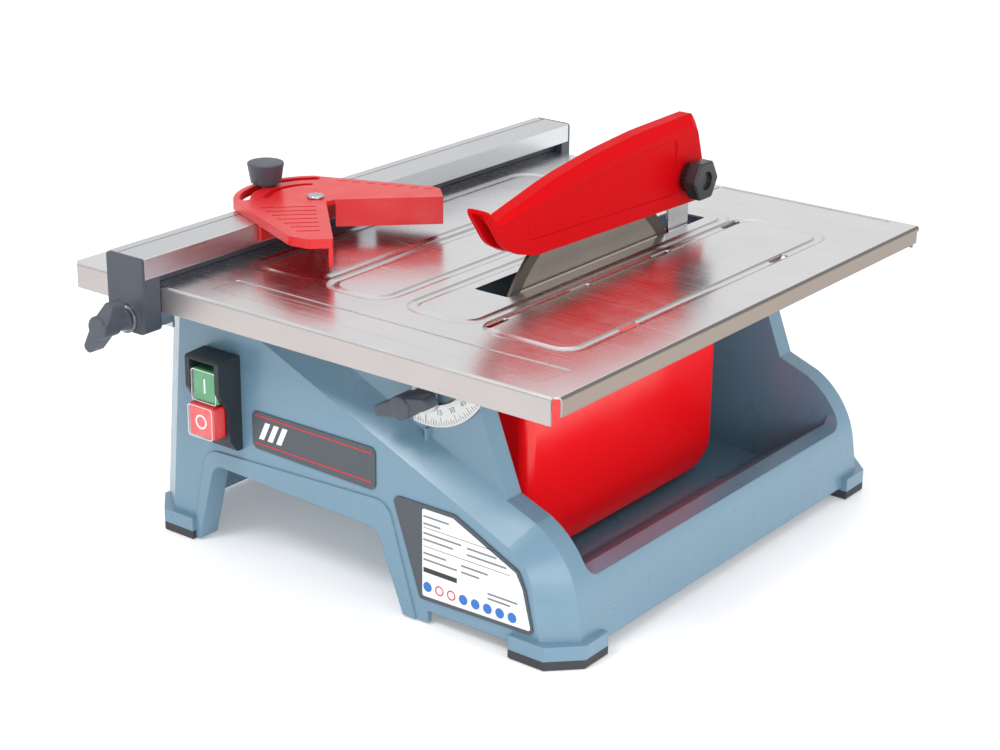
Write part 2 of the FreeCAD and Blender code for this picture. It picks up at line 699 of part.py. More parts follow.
def outer_flange():
    seat = BLADE_X + CORE_T / 2
    plate = rod(25.0, shaft_point(seat), shaft_point(seat + 4.5))
    edge = [e for e in plate.Edges if e.BoundBox.XMin > seat + 4.4]
    plate = plate.makeChamfer(1.5, edge)
    relief = tube(20.0, 7.0, shaft_point(seat - 1), shaft_point(seat + 0.8))
    return cut(plate, [relief, rod(6.0 + FREE, shaft_point(50.0), shaft_point(90.0))])


def arbor_nut():
    start = BLADE_X + CORE_T / 2 + 4.5
    nut = hexagon(22.0, 0.0, SHAFT_Z, start, start + 9.0)
    collar = rod(12.0, shaft_point(start), shaft_point(start + 1.5))
    return fuse([nut, collar]).cut(rod(6.0 + FREE, shaft_point(50.0), shaft_point(90.0)))


def saw_blade():
    """Steel core with a thicker diamond rim."""
    core = rod(BLADE_R - 1.0, shaft_point(BLADE_X - CORE_T / 2), shaft_point(BLADE_X + CORE_T / 2))
    rim = tube(BLADE_R, BLADE_R - RIM_WIDTH, shaft_point(BLADE_X - BLADE_T / 2),
               shaft_point(BLADE_X + BLADE_T / 2))
    return fuse([core, rim]).cut(rod(BORE_R + RUNNING, shaft_point(50.0), shaft_point(70.0)))


# ---------------------------------------------------------------- riving knife and guard

def riving_knife():
    """Plate behind the blade that carries the guard; its foot is outside the blade cover."""
    points = [(84.8, 222.0, 9.0), (107.5, 222.0, 10.0), (107.5, 174.0, 10.0), (118.0, 156.0, 6.0),
              (118.0, 116.0, 3.0), (105.0, 116.0, 3.0), (105.0, 150.0, 8.0), (84.8, 175.0, 8.0)]
    plate = prism(points, "yz", BLADE_X - 1.0, BLADE_X + 1.0)
    holes = [rod(4.0 + RUNNING, V(50, GUARD_Y, GUARD_Z), V(70, GUARD_Y, GUARD_Z))]
    holes += [rod(3.1, V(50, y, z), V(70, y, z)) for y, z in KNIFE_SCREWS]
    return cut(plate, holes)


KNIFE_SCREWS = [(111.0, 123.0), (111.0, 141.0)]


def knife_bracket():
    """Steel bracket from the partition out to the riving knife's foot."""
    base = box(PARTITION_RIGHT, 34.0, 105.0, 132.0, 114.0, 148.0)
    arm = box(34.0, BLADE_X - 1.0, 105.0, 118.0, 116.0, 148.0)
    holes = [rod(3.1, V(25, y, z), V(40, y, z)) for y, z in KNIFE_BRACKET_SCREWS]
    holes += [rod(3.1, V(45, y, z), V(65, y, z)) for y, z in KNIFE_SCREWS]
    return cut(fuse([base, arm]), holes)


def knife_screws():
    """Identical M6 screws: two hold the knife on its bracket, two the bracket on the partition."""
    screws = [screw(3.0, 14.0, V(BLADE_X + 1.0 - 14.0, y, z), V(-1, 0, 0)) for y, z in KNIFE_SCREWS]
    screws += [screw(3.0, 14.0, V(20.0, y, z), V(-1, 0, 0)) for y, z in KNIFE_BRACKET_SCREWS]
    return screws


def above_table(points):
    """Turns (y, height over the table) outline points into (y, z) points."""
    return [(p[0], TABLE_TOP + p[1]) + tuple(p[2:]) for p in points]


GUARD_OUTLINE = above_table([
    (-84.0, 26.5, 8.0), (-66.0, 21.5, 20.0), (119.0, 16.5, 2.0), (113.5, 39.0, 20.0), (107.0, 68.0, 4.0),
    (101.5, 74.8, 3.0), (45.0, 73.4, 300.0), (0.0, 69.6, 300.0), (-45.0, 63.0, 300.0),
    (-102.0, 49.3, 4.0), (-113.5, 60.0, 1.0), (-112.3, 54.0, 8.0), (-98.0, 34.0, 25.0)])
GUARD_FACE = above_table([
    (-84.0, 26.5, 8.0), (-66.0, 21.5, 20.0), (119.0, 16.5, 2.0), (113.5, 39.0, 20.0), (105.8, 63.0, 4.0),
    (99.8, 67.0, 3.0), (45.0, 65.6, 300.0), (0.0, 61.8, 300.0), (-45.0, 55.6, 300.0),
    (-101.0, 46.6, 4.0), (-113.5, 60.0, 1.0), (-112.3, 54.0, 8.0), (-98.0, 34.0, 25.0)])
GUARD_HOLLOW = above_table([
    (-86.5, -20.0), (-86.5, 45.0, 3.0), (-45.0, 57.0, 200.0), (0.0, 63.6, 200.0), (45.0, 67.5, 200.0),
    (98.0, 68.8, 3.0), (103.8, 62.5, 3.0), (110.4, 39.0, 15.0), (116.0, 16.0), (116.0, -20.0)])
GUARD_SCOOP = above_table([
    (-120.0, 53.5), (-110.8, 56.2, 1.0), (-100.0, 46.0, 3.0), (-89.5, 46.0, 2.0), (-89.5, 32.0, 2.0),
    (-96.0, 25.0), (-120.0, 25.0)])
GUARD_PANEL = above_table([
    (-74.0, 32.0, 5.0), (82.0, 26.0, 4.0), (82.0, 62.0, 4.0), (45.0, 61.0, 200.0), (0.0, 57.2, 200.0),
    (-45.0, 51.0, 200.0), (-74.0, 46.0, 4.0)])
GUARD_SCREWS = above_table([(-60.0, 45.5), (20.0, 57.5), (97.5, 60.0)])


def guard_side(x_wide, x_face):
    """Layer whose upper edge slopes in from the full outline to the flat side face."""
    wires = [loop(GUARD_OUTLINE, "yz", x_wide), loop(GUARD_FACE, "yz", x_face)]
    return Part.makeLoft(wires, True, True)


def guard_body():
    left, right = BLADE_X - GUARD_HALF, BLADE_X + GUARD_HALF
    core = prism(GUARD_OUTLINE, "yz", left + GUARD_BEVEL, right - GUARD_BEVEL)
    body = fuse([core, guard_side(left + GUARD_BEVEL, left), guard_side(right - GUARD_BEVEL, right)])
    hollow = prism(GUARD_HOLLOW, "yz", left + GUARD_WALL, right - GUARD_WALL)
    scoop = prism(GUARD_SCOOP, "yz", left + GUARD_WALL, right - GUARD_WALL)
    panels = [prism(GUARD_PANEL, "yz", left - 1, left + 0.6), prism(GUARD_PANEL, "yz", right - 0.6, right + 1)]
    posts = [rod(4.0, V(left + 1, y, z), V(right - 1, y, z)) for y, z in GUARD_SCREWS]
    body = cut(body, [hollow, scoop] + panels).multiFuse(posts)
    holes = [rod(2.0, V(left - 1, y, z), V(right - 2.0, y, z)) for y, z in GUARD_SCREWS]
    holes += [rod(3.9, V(left - 1, y, z), V(left + 2.0, y, z)) for y, z in GUARD_SCREWS]
    holes.append(rod(4.0 + FREE, V(50, GUARD_Y, GUARD_Z), V(75, GUARD_Y, GUARD_Z)))
    return cut(body, holes)


def guard_shell(low, high):
    return guard_body().common(box(low, high, -150, 150, 150, 300)).removeSplitter()


def guard_shell_left():
    return guard_shell(BLADE_X - 20, BLADE_X)


def guard_shell_right():
    return guard_shell(BLADE_X, BLADE_X + 20)


def guard_screws():
    left, right = BLADE_X - GUARD_HALF, BLADE_X + GUARD_HALF
    screws = []
    for y, z in GUARD_SCREWS:
        head = rod(3.6, V(left + 0.2, y, z), V(left + 2.0, y, z))
        head = head.cut(rod(1.4, V(left, y, z), V(left + 1.2, y, z)))
        screws.append(fuse([head, rod(1.9, V(left + 2.0, y, z), V(right - 2.5, y, z))]))
    return screws


def guard_bolt():
    """Bolt through both shells and the riving knife, on which the guard lifts."""
    left = BLADE_X - GUARD_HALF
    head = rod(9.0, V(left - 3.5, GUARD_Y, GUARD_Z), V(left, GUARD_Y, GUARD_Z))
    head = head.makeFillet(2.0, [e for e in head.Edges if e.BoundBox.XMax < left - 3.4])
    return fuse([head, rod(4.0, V(left, GUARD_Y, GUARD_Z), V(80.0, GUARD_Y, GUARD_Z))])


def guard_knob():
    """Six-sided knob with a ribbed collar."""
    start = BLADE_X + GUARD_HALF + GAP
    collar = rod(9.0, V(start, GUARD_Y, GUARD_Z), V(start + 6.0, GUARD_Y, GUARD_Z))
    head = hexagon(24.0, GUARD_Y, GUARD_Z, start + 5.0, start + 14.5)
    head = head.makeFillet(2.5, [e for e in head.Edges if e.BoundBox.XLength > 5])
    head = head.makeFillet(1.2, [e for e in head.Edges if e.BoundBox.XLength < 0.01])
    grooves = []
    for i in range(18):
        a = math.radians(20 * i)
        y, z = GUARD_Y + 9.3 * math.cos(a), GUARD_Z + 9.3 * math.sin(a)
        grooves.append(rod(0.8, V(start - 1, y, z), V(start + 5.0, y, z)))
    well = rod(6.0, V(start + 12.5, GUARD_Y, GUARD_Z), V(start + 20.0, GUARD_Y, GUARD_Z))
    bore = rod(4.0 + FREE, V(start - 1, GUARD_Y, GUARD_Z), V(start + 12.0, GUARD_Y, GUARD_Z))
    return cut(fuse([collar, head]), grooves + [well, bore])


# ---------------------------------------------------------------- table

PANELS = [(-93.0, -42.0, 138.0), (-34.0, 11.0, 138.0), (85.0, 147.0, 140.0)]
MID_PANEL = (28.0, 77.0, 138.0)
GROOVE = 8.0
GROOVE_DEPTH = 0.9
DRAINS = [(85.0, -124.0), (85.0, -43.0), (85.0, 43.0), (85.0, 124.0), (146.0, -81.0), (146.0, 81.0)]


def groove_ring(x0, x1, y, half_width, depth):
    """Ring with a round-bottomed section under a rounded rectangle's outline on the table."""
    corner = 14.0
    path = loop([(x0, -y, corner), (x1, -y, corner), (x1, y, corner), (x0, y, corner)], "xy", TABLE_TOP)
    start = path.Edges[1].valueAt(path.Edges[1].FirstParameter)
    direction = path.Edges[1].tangentAt(path.Edges[1].FirstParameter)
    across = V(-direction.y, direction.x, 0)
    a = start - across * half_width
    b = start + across * half_width
    deepest = start - V(0, 0, depth)
    section = Part.Wire([Part.Arc(a, deepest, b).toShape(), Part.LineSegment(b, a).toShape()])
    return path.makePipeShell([section], True, False)


def table_top():
    """Folded stainless sheet with pressed grooves, drain slots and the blade slot."""
    top, low = TABLE_TOP, TABLE_TOP - FLANGE
    corner = TABLE_CORNER
    rectangle = [(-TABLE_HALF_X, -TABLE_HALF_Y, corner), (TABLE_HALF_X, -TABLE_HALF_Y, corner),
                 (TABLE_HALF_X, TABLE_HALF_Y, corner), (-TABLE_HALF_X, TABLE_HALF_Y, corner)]
    outer = prism(rectangle, "xy", low, top)
    outer = outer.makeFillet(2.0, [e for e in outer.Edges if e.BoundBox.ZMin > top - 0.01])
    inset_x, inset_y = TABLE_HALF_X - SHEET, TABLE_HALF_Y - SHEET
    inside = [(-inset_x, -inset_y, corner - SHEET), (inset_x, -inset_y, corner - SHEET),
              (inset_x, inset_y, corner - SHEET), (-inset_x, inset_y, corner - SHEET)]
    inner = prism(inside, "xy", low - 1, top - SHEET)
    inner = inner.makeFillet(0.8, [e for e in inner.Edges if e.BoundBox.ZMin > top - SHEET - 0.01])
    sheet = outer.cut(inner)
    for sx in (-1, 1):
        for sy in (-1, 1):
            x, y = sx * TABLE_HALF_X, sy * TABLE_HALF_Y
            sheet = sheet.cut(box(x - NOTCH, x + NOTCH, y - NOTCH, y + NOTCH, low - 1, top - 3.5))
            if sy < 0:
                sheet = sheet.cut(rod(NOTCH, V(x, y, top - 4), V(x, y, top + 1)))
        edge = box(sx * TABLE_HALF_X - 2, sx * TABLE_HALF_X + 2, -TABLE_HALF_Y + NOTCH - 0.5,
                   TABLE_HALF_Y - NOTCH + 0.5, low - 1, top - SIDE_FLANGE)
        sheet = sheet.cut(edge)
    rings = PANELS + [MID_PANEL]
    under = [groove_ring(x0, x1, y, GROOVE / 2 + 1.3, GROOVE_DEPTH + SHEET) for x0, x1, y in rings]
    over = [groove_ring(x0, x1, y, GROOVE / 2, GROOVE_DEPTH) for x0, x1, y in rings]
    for ring in under:
        sheet = sheet.fuse(ring)
    tools = over + [stadium(x, y, 19.5, 4.6, low, top + 1) for x, y in DRAINS]
    tools.append(prism([(SLOT_LEFT, SLOT_FRONT, 2.0), (SLOT_RIGHT, SLOT_FRONT, 2.0),
                        (SLOT_RIGHT, SLOT_BACK, 2.0), (SLOT_LEFT, SLOT_BACK, 2.0)], "xy", low, top + 1))
    strip_front = [(-80.0, -184.0, 2.0), (161.0, -184.0, 1.0), (163.0, -160.0, 1.0), (109.0, -162.0, 2.0),
                   (-80.0, -162.0, 2.0)]
    strip_back = [(32.0, 168.0, 3.0), (163.0, 168.0, 3.0), (163.0, 196.0, 3.0), (32.0, 196.0, 3.0)]
    tools += [prism(strip, "xy", top - 0.4, top + 1) for strip in (strip_front, strip_back)]
    return cut(sheet, tools).removeSplitter()


def tilt_bracket():
    """Half-round plate under the front of the table: a pivot hole, an arc slot and a welded tab."""
    face_y = -BRACKET_Y - BRACKET_T
    under = TABLE_TOP - SHEET
    r = SCALE_R
    disc = rod(r, V(TILT_X, face_y, TILT_Z), V(TILT_X, -BRACKET_Y, TILT_Z))
    left = TILT_X - SCALE_LEFT
    disc = disc.common(box(left, TILT_X + r, -200, 0, 100, TILT_Z))
    upper = box(left, TILT_X + r, face_y, -BRACKET_Y, TILT_Z, under)
    tab = box(left, TILT_X + r, face_y - 13.0, -BRACKET_Y, under - BRACKET_T, under)
    tools = [rod(5.0 + RUNNING, V(TILT_X, -200, TILT_Z), V(TILT_X, -100, TILT_Z)),
             arc_slot(TILT_X, TILT_Z, BEVEL_R, 8.8, -90.0, -90.0 + TILT_DEGREES, "xz", -200, -100)]
    return cut(fuse([disc, upper, tab]), tools)


def front_tilt_bracket():
    """The front plate carries the degree marks along its round edge."""
    plate = tilt_bracket()
    ticks = []
    for i in range(-1, 9):
        length = 6.0 if i % 2 == 0 else 3.5
        mark = box(TILT_X - 0.3, TILT_X + 0.3, -BRACKET_Y - BRACKET_T - 1,
                   -BRACKET_Y - BRACKET_T + 0.3, TILT_Z - SCALE_R + 1.2, TILT_Z - SCALE_R + 1.2 + length)
        mark.rotate(V(TILT_X, 0, TILT_Z), Y_AXIS, 7.5 * i)
        ticks.append(mark)
    return cut(plate, ticks)


def back_tilt_bracket():
    return mirror_y(tilt_bracket())


def pivot_bolts():
    """Shoulder bolts fixed in the housing's two ears; the brackets turn on them."""
    shank = rod(5.0, V(TILT_X, -BRACKET_Y - BRACKET_T - GAP, TILT_Z), V(TILT_X, -TROUGH_Y + 4, TILT_Z))
    head = rod(7.0, V(TILT_X, -BRACKET_Y - BRACKET_T - 4, TILT_Z),
               V(TILT_X, -BRACKET_Y - BRACKET_T - GAP, TILT_Z))
    nut = rod(8.0, V(TILT_X, -TROUGH_Y, TILT_Z), V(TILT_X, -TROUGH_Y + 5, TILT_Z))
    bolt = fuse([head, shank, nut])
    return [bolt, mirror_y(bolt)]


BEVEL_Z = TILT_Z - BEVEL_R


def bevel_bolts():
    """Fixed studs that pass through the brackets' arc slots and take the bevel knobs."""
    stud = rod(4.0, V(TILT_X, -180.0, BEVEL_Z), V(TILT_X, -TROUGH_Y, BEVEL_Z))
    head = rod(8.5, V(TILT_X, -TROUGH_Y, BEVEL_Z), V(TILT_X, -TROUGH_Y + 4, BEVEL_Z))
    bolt = fuse([stud, head])
    return [bolt, mirror_y(bolt)]


def bevel_washers():
    start = -BRACKET_Y - BRACKET_T - GAP
    washer = tube(9.5, 4.0 + FREE, V(TILT_X, start - WASHER, BEVEL_Z), V(TILT_X, start, BEVEL_Z))
    return [washer, mirror_y(washer)]


# ---------------------------------------------------------------- wing knobs

WING_SPAN = 40.0
KNOB_LENGTH = 22.0


def wing_knob(x, z, base, wing_degrees, bolt_r=4.0):
    """T-shaped wing knob whose axis runs along -Y from its base."""
    tip = base - KNOB_LENGTH
    neck = cone(6.5, 5.5, V(x, base, z), V(x, base - 10, z))
    hub = rod(7.2, V(x, base - 9, z), V(x, tip, z))
    hub = hub.makeFillet(1.0, [e for e in hub.Edges if e.BoundBox.YMax < tip + 0.01])
    half = WING_SPAN / 2
    wing = prism([(x - half, z - 3.2, 3.0), (x - 6.0, z - 5.0, 6.0), (x + 6.0, z - 5.0, 6.0),
                  (x + half, z - 3.2, 3.0), (x + half, z + 3.2, 3.0), (x + 6.0, z + 5.0, 6.0),
                  (x - 6.0, z + 5.0, 6.0), (x - half, z + 3.2, 3.0)], "xz", tip + 1.0, tip + 12.0)
    wing = wing.makeFillet(1.0, [e for e in wing.Edges if e.BoundBox.YLength < 0.01])
    knob = fuse([neck, hub, wing])
    knob = knob.cut(rod(bolt_r + FREE, V(x, base + 1, z), V(x, tip + 2.5, z)))
    knob.rotate(V(x, 0, z), Y_AXIS, -wing_degrees)
    return knob


def front_bevel_knob():
    base = -BRACKET_Y - BRACKET_T - WASHER - 2 * GAP
    return wing_knob(TILT_X, BEVEL_Z, base, 19.0)


def back_bevel_knob():
    return mirror_y(front_bevel_knob())


def clamp_knob(end, wing_degrees):
    return wing_knob(CLAMP_X, CLAMP_Z, -end - CAP_T - WASHER - 2 * GAP, wing_degrees, CLAMP_BOLT_R)


def front_clamp_knob():
    return clamp_knob(FENCE_FRONT, 56.0)


def back_clamp_knob():
    return mirror_y(clamp_knob(FENCE_BACK, 0.0))


# ---------------------------------------------------------------- fence

def fence_extrusion():
    """Hollow aluminium bar with a line on top and a groove in its left side for the mitre jaw."""
    x0, x1, z0, z1 = FENCE_LEFT, FENCE_RIGHT, FENCE_LOW, FENCE_TOP
    bar = prism([(x0, z0, 0.6), (x1, z0, 0.6), (x1, z1, 0.8), (x0, z1, 0.8)], "xz", -FENCE_FRONT, FENCE_BACK)
    hollow = prism([(x0 + 7, z0 + 2, 1.0), (x1 - 2, z0 + 2, 1.0), (x1 - 2, z1 - 2, 1.0),
                    (x0 + 7, z1 - 2, 1.0)], "xz", -FENCE_FRONT - 1, FENCE_BACK + 1)
    line = box(x0 + 7.0, x0 + 8.2, -FENCE_FRONT - 1, FENCE_BACK + 1, z1 - 0.7, z1 + 1)
    groove = box(x0 - 1, x0 + 4.5, -FENCE_FRONT - 1, FENCE_BACK + 1, 186.0, 190.0)
    return cut(bar, [hollow, line, groove])


def fence_strip():
    return box(-129.0, -113.0, -205.0, STRIP_BACK, TABLE_TOP + 0.2, FENCE_LOW)


def end_cap(end):
    """Plastic cap on the fence's front end at y = -end; its foot hangs outside the table's flange."""
    plate = prism([(FENCE_LEFT, CAP_LOW, 3.0), (FENCE_RIGHT, CAP_LOW, 3.0), (FENCE_RIGHT, FENCE_TOP, 2.5),
                   (FENCE_LEFT, FENCE_TOP, 2.5)], "xz", -end - CAP_T, -end)
    foot = prism([(FENCE_LEFT, CAP_LOW, 3.0), (FENCE_RIGHT, CAP_LOW, 3.0), (FENCE_RIGHT, FENCE_LOW),
                  (FENCE_LEFT, FENCE_LOW)], "xz", -end - 0.1, -TABLE_HALF_Y - 0.4)
    plug = box(FENCE_LEFT + 7.2, FENCE_RIGHT - 2.2, -end - 0.1, -end + 8, FENCE_LOW + 2.2, FENCE_TOP - 2.2)
    bolt = rod(CLAMP_BOLT_R + FREE, V(CLAMP_X, -230, CLAMP_Z), V(CLAMP_X, -190, CLAMP_Z))
    strip_room = box(-129.2, -112.8, -206.0, -200.0, TABLE_TOP, FENCE_LOW + 0.1)
    return cut(fuse([plate, foot, plug]), [bolt, strip_room])


def front_end_cap():
    return end_cap(FENCE_FRONT)


def back_end_cap():
    return mirror_y(end_cap(FENCE_BACK))


def clamp_jaws():
    """Steel jaws that grip the table's flange from behind, each with a thin tail plate."""
    low = prism([(-200.2, 149.5), (-189.0, 149.5), (-189.0, 172.0), (-198.5, 172.0), (-198.5, 159.3),
                 (-200.2, 159.3)], "yz", CLAMP_X - 12, CLAMP_X + 12)
    tail = box(CLAMP_X - 12, CLAMP_X + 12, -189.0, JAW_BACK, 146.0, 172.0)
    bolt = rod(CLAMP_BOLT_R + FREE, V(CLAMP_X, -230, CLAMP_Z), V(CLAMP_X, -180, CLAMP_Z))
    jaw = fuse([low, tail]).cut(bolt)
    return [jaw, mirror_y(jaw)]


def clamp_bolt(end):
    shank = rod(CLAMP_BOLT_R, V(CLAMP_X, -end - CAP_T - 21.0, CLAMP_Z), V(CLAMP_X, JAW_BACK, CLAMP_Z))
    head = rod(7.0, V(CLAMP_X, JAW_BACK, CLAMP_Z), V(CLAMP_X, JAW_BACK + 4.2, CLAMP_Z))
    return fuse([shank, head])


def clamp_bolts():
    return [clamp_bolt(FENCE_FRONT), mirror_y(clamp_bolt(FENCE_BACK))]


def clamp_washer(end):
    start = -end - CAP_T - GAP
    return tube(8.8, CLAMP_BOLT_R + FREE, V(CLAMP_X, start - WASHER, CLAMP_Z), V(CLAMP_X, start, CLAMP_Z))


def clamp_washers():
    return [clamp_washer(FENCE_FRONT), mirror_y(clamp_washer(FENCE_BACK))]


# ---------------------------------------------------------------- mitre guide

def knob_spot():
    a = math.radians(KNOB_ANGLE)
    return MITRE_X + KNOB_R * math.cos(a), MITRE_Y + KNOB_R * math.sin(a)


def mitre_saddle():
    """Red bridge over the fence with two skirts, and an ear on the left one for the clamp stud."""
    low = FENCE_TOP + 0.2
    high = MITRE_PLATE_LOW - 0.2
    skirt_top = FENCE_TOP - 0.1
    skirt_low = MITRE_LOW + 1.0
    kx, ky = knob_spot()
    left_out, left_in = FENCE_LEFT - 3.0, FENCE_LEFT - GAP
    right_in, right_out = FENCE_RIGHT + GAP, FENCE_RIGHT + 3.0
    y0, y1 = MITRE_Y - BRIDGE_HALF, MITRE_Y + BRIDGE_HALF
    bridge = box(left_out, right_out, y0, y1, low, high)
    boss = rod(6.0, V(MITRE_X, MITRE_Y, low - 4), V(MITRE_X, MITRE_Y, high))
    boss = boss.cut(box(FENCE_RIGHT - 20, right_in, -100, 0, 150, low))
    parts = [
        bridge, boss,
        box(right_in, right_out, MITRE_Y - 49.5, MITRE_Y + 39.5, skirt_low, skirt_top),
        box(left_out, left_in, MITRE_Y - 34.0, MITRE_Y + 34.0, skirt_low, skirt_top),
        box(right_in, right_out, y0, y1, skirt_low, low),
        box(left_out, left_in, y0, y1, skirt_low, low),
        rod(7.0, V(kx, ky, EAR_LOW), V(kx, ky, skirt_top)),
        box(kx, left_in, ky - 7, ky + 7, EAR_LOW, skirt_top),
    ]
    jaw_room = box(kx - 8, left_in + 1, ky - 8.5, ky + 8.5, 150.0, EAR_LOW)
    holes = [rod(3.0 + FREE, V(kx, ky, 150), V(kx, ky, 250)),
             rod(RIVET_R + FREE, V(MITRE_X, MITRE_Y, 150), V(MITRE_X, MITRE_Y, 250))]
    return cut(fuse(parts), [jaw_room] + holes)


def mitre_jaw():
    """Block under the ear whose tongue runs in the fence's side groove."""
    kx, ky = knob_spot()
    block = box(kx - 6.5, FENCE_LEFT - 0.5, ky - 7.5, ky + 7.5, MITRE_LOW - 2.5, EAR_LOW - GAP)
    tongue = box(FENCE_LEFT - 1.0, FENCE_LEFT + 3.8, ky - 7.5, ky + 7.5, 186.3, 189.7)
    return fuse([block, tongue]).cut(rod(3.0 + FREE, V(kx, ky, 150), V(kx, ky, 250)))


def mitre_stud():
    kx, ky = knob_spot()
    seat = MITRE_LOW - 2.5
    shank = rod(3.0, V(kx, ky, seat), V(kx, ky, MITRE_TOP + MITRE_KNOB_H - 2.8))
    head = rod(5.5, V(kx, ky, seat - 3.2), V(kx, ky, seat))
    return fuse([head, shank])


def mitre_rivet():
    """Steel pivot between the saddle and the arm."""
    low = FENCE_TOP - 3.8
    shank = rod(RIVET_R, V(MITRE_X, MITRE_Y, low - 2.0), V(MITRE_X, MITRE_Y, MITRE_TOP + GAP))
    head = rod(5.5, V(MITRE_X, MITRE_Y, MITRE_TOP + GAP), V(MITRE_X, MITRE_Y, MITRE_TOP + GAP + 1.6))
    head = head.makeFillet(1.2, [e for e in head.Edges if e.BoundBox.ZMin > MITRE_TOP + GAP + 1.5])
    return fuse([head, shank])


def mitre_arm():
    """Sector plate with two arc slots, a short wall and a hollow arm, swung to its rest angle."""
    x, y = MITRE_X, MITRE_Y
    low, top = MITRE_PLATE_LOW, MITRE_TOP
    triangle = prism([(x - 51.4, y - 2.3), (x - 20.0, y - 81.0, 8.0), (x - 9.0, y - 89.5, 6.0),
                      (x + 6.0, y - 89.5, 1.5), (x + 6.0, y - 10.0), (x + 12.0, y - 6.0, 1.0),
                      (x + 80.0, y - 6.0, 2.0), (x + 80.0, y + 14.0, 3.0), (x + 75.0, y + 18.8, 4.0),
                      (x + 3.0, y + 50.5), (x, y)], "xy", low, top)
    sector = rod(MITRE_R, V(x, y, low), V(x, y, top))
    sector = sector.common(prism([(x, y), (x + 3.6, y + 60), (x - 70, y + 60), (x - 60, y - 2.7)],
                                 "xy", low - 1, top + 1))
    skin = 2.8
    wall = box(x + 6.0 - skin, x + 6.0, y - 89.0, y - 10.0, MITRE_LOW, top)
    arm_front = box(x + 12.0, x + 80.0, y - 6.0, y - 6.0 + skin, MITRE_LOW, top)
    arm_end = box(x + 80.0 - skin, x + 80.0, y - 6.0, y + 14.0, MITRE_LOW, top)
    slope = (50.5 - 18.8) / (75.0 - 3.0)
    back_start = 40.0
    arm_back = prism([(x + back_start, y + 18.8 + slope * (75.0 - back_start)), (x + 75.0, y + 18.8),
                      (x + 80.0, y + 14.0), (x + 77.0, y + 12.0), (x + 74.0, y + 18.8 - skin),
                      (x + back_start, y + 18.8 - skin + slope * (74.0 - back_start))],
                     "xy", MITRE_LOW, top)
    arc_rim = sector.cut(rod(MITRE_R - RIM_T, V(x, y, low - 1), V(x, y, top + 1)))
    arc_rim.translate(V(0, 0, RIM_LOW - low))
    edge = [(x - 51.4, y - 2.3), (x - 20.0, y - 81.0, 8.0), (x - 9.0, y - 89.5, 6.0),
            (x + 6.0, y - 89.5, 1.5), (x + 6.0, y)]
    inner = [(x - 51.4 + RIM_T, y), (x - 51.4 + RIM_T * 1.1, y - 2.3), (x - 17.4, y - 80.0, 6.0),
             (x - 8.2, y - 89.5 + RIM_T, 4.0), (x + 8.0, y - 89.5 + RIM_T), (x + 8.0, y)]
    edge_rim = prism(edge, "xy", RIM_LOW, top).cut(prism(inner, "xy", RIM_LOW - 1, top + 1))
    body = fuse([triangle, sector, wall, arm_front, arm_end, arm_back, arc_rim, edge_rim])
    tools = [arc_slot(x, y, KNOB_R, 6.8, 88.0, 178.6, "xy", low - 1, top + 1),
             arc_slot(x, y, 31.0, 5.0, 95.0, 172.0, "xy", low - 1, top + 1),
             rod(RIVET_R + RUNNING, V(x, y, low - 1), V(x, y, top + 1))]
    for i in range(7):
        across = y - 20.0 - 8.6 * i
        left = x - 51.4 + 31.4 * (y - 2.3 - across) / 78.7 + 9.0
        tools.append(box(left, x - 1.0, across - 0.8, across + 0.8, top - 0.8, top + 1))
        along = x + 16.0 + 9.0 * i
        side = y + 37.0 - slope * 9.0 * i
        tools.append(box(along, along + 5.5, side - 0.6, side + 0.6, top - 0.5, top + 1))
    return turned(cut(body, tools).removeSplitter(), MITRE_ANGLE)


def mitre_knob():
    """Tapered hand knob with a foot that presses on the sector plate."""
    kx, ky = knob_spot()
    top = MITRE_TOP + MITRE_KNOB_H
    foot = rod(6.5, V(kx, ky, MITRE_TOP + 0.2), V(kx, ky, MITRE_TOP + 2.5))
    grip = cone(9.8, 12.0, V(kx, ky, MITRE_TOP + 2.0), V(kx, ky, top))
    grip = grip.makeFillet(1.0, [e for e in grip.Edges if e.BoundBox.ZMin > top - 0.1])
    bore = rod(3.0 + FREE, V(kx, ky, MITRE_TOP - 1), V(kx, ky, top - 2.3))
    return fuse([foot, grip]).cut(bore)


# ---------------------------------------------------------------- output

NODES = [
    base_housing, foot_pads, foot_screws, motor_cover, housing_screws, blade_cover, cable_gland,
    name_plate, rating_plate, switch_housing, switch_module, green_button, red_button,
    motor_front_shield, motor_rear_shield, motor_stator, motor_windings, motor_bearings, motor_bolts,
    shaft_seal, run_capacitor, motor_shaft, rotor_core, cooling_fan, inner_flange, outer_flange,
    arbor_nut, saw_blade, riving_knife, knife_bracket, knife_screws, guard_shell_left,
    guard_shell_right, guard_screws, guard_bolt, guard_knob, table_top, front_tilt_bracket,
    back_tilt_bracket, pivot_bolts, bevel_bolts, bevel_washers, front_bevel_knob, back_bevel_knob,
    fence_extrusion, fence_strip, front_end_cap, back_end_cap, clamp_jaws, clamp_bolts, clamp_washers,
    front_clamp_knob, back_clamp_knob, mitre_saddle, mitre_jaw, mitre_stud, mitre_rivet, mitre_arm,
    mitre_knob,
]

os.makedirs("parts", exist_ok=True)
for make in NODES:
    made = make()
    shape = Part.makeCompound(made) if isinstance(made, list) else made
    shape.exportStep("parts/" + make.__name__ + ".step")
    print(make.__name__, len(shape.Solids), round(shape.Volume, 1), shape.isValid())
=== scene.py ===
"""Looks of the wet tile cutter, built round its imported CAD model. Metres, +Z up, -Y to the front."""
import math

import bmesh
import bpy
from mathutils import Matrix, Vector

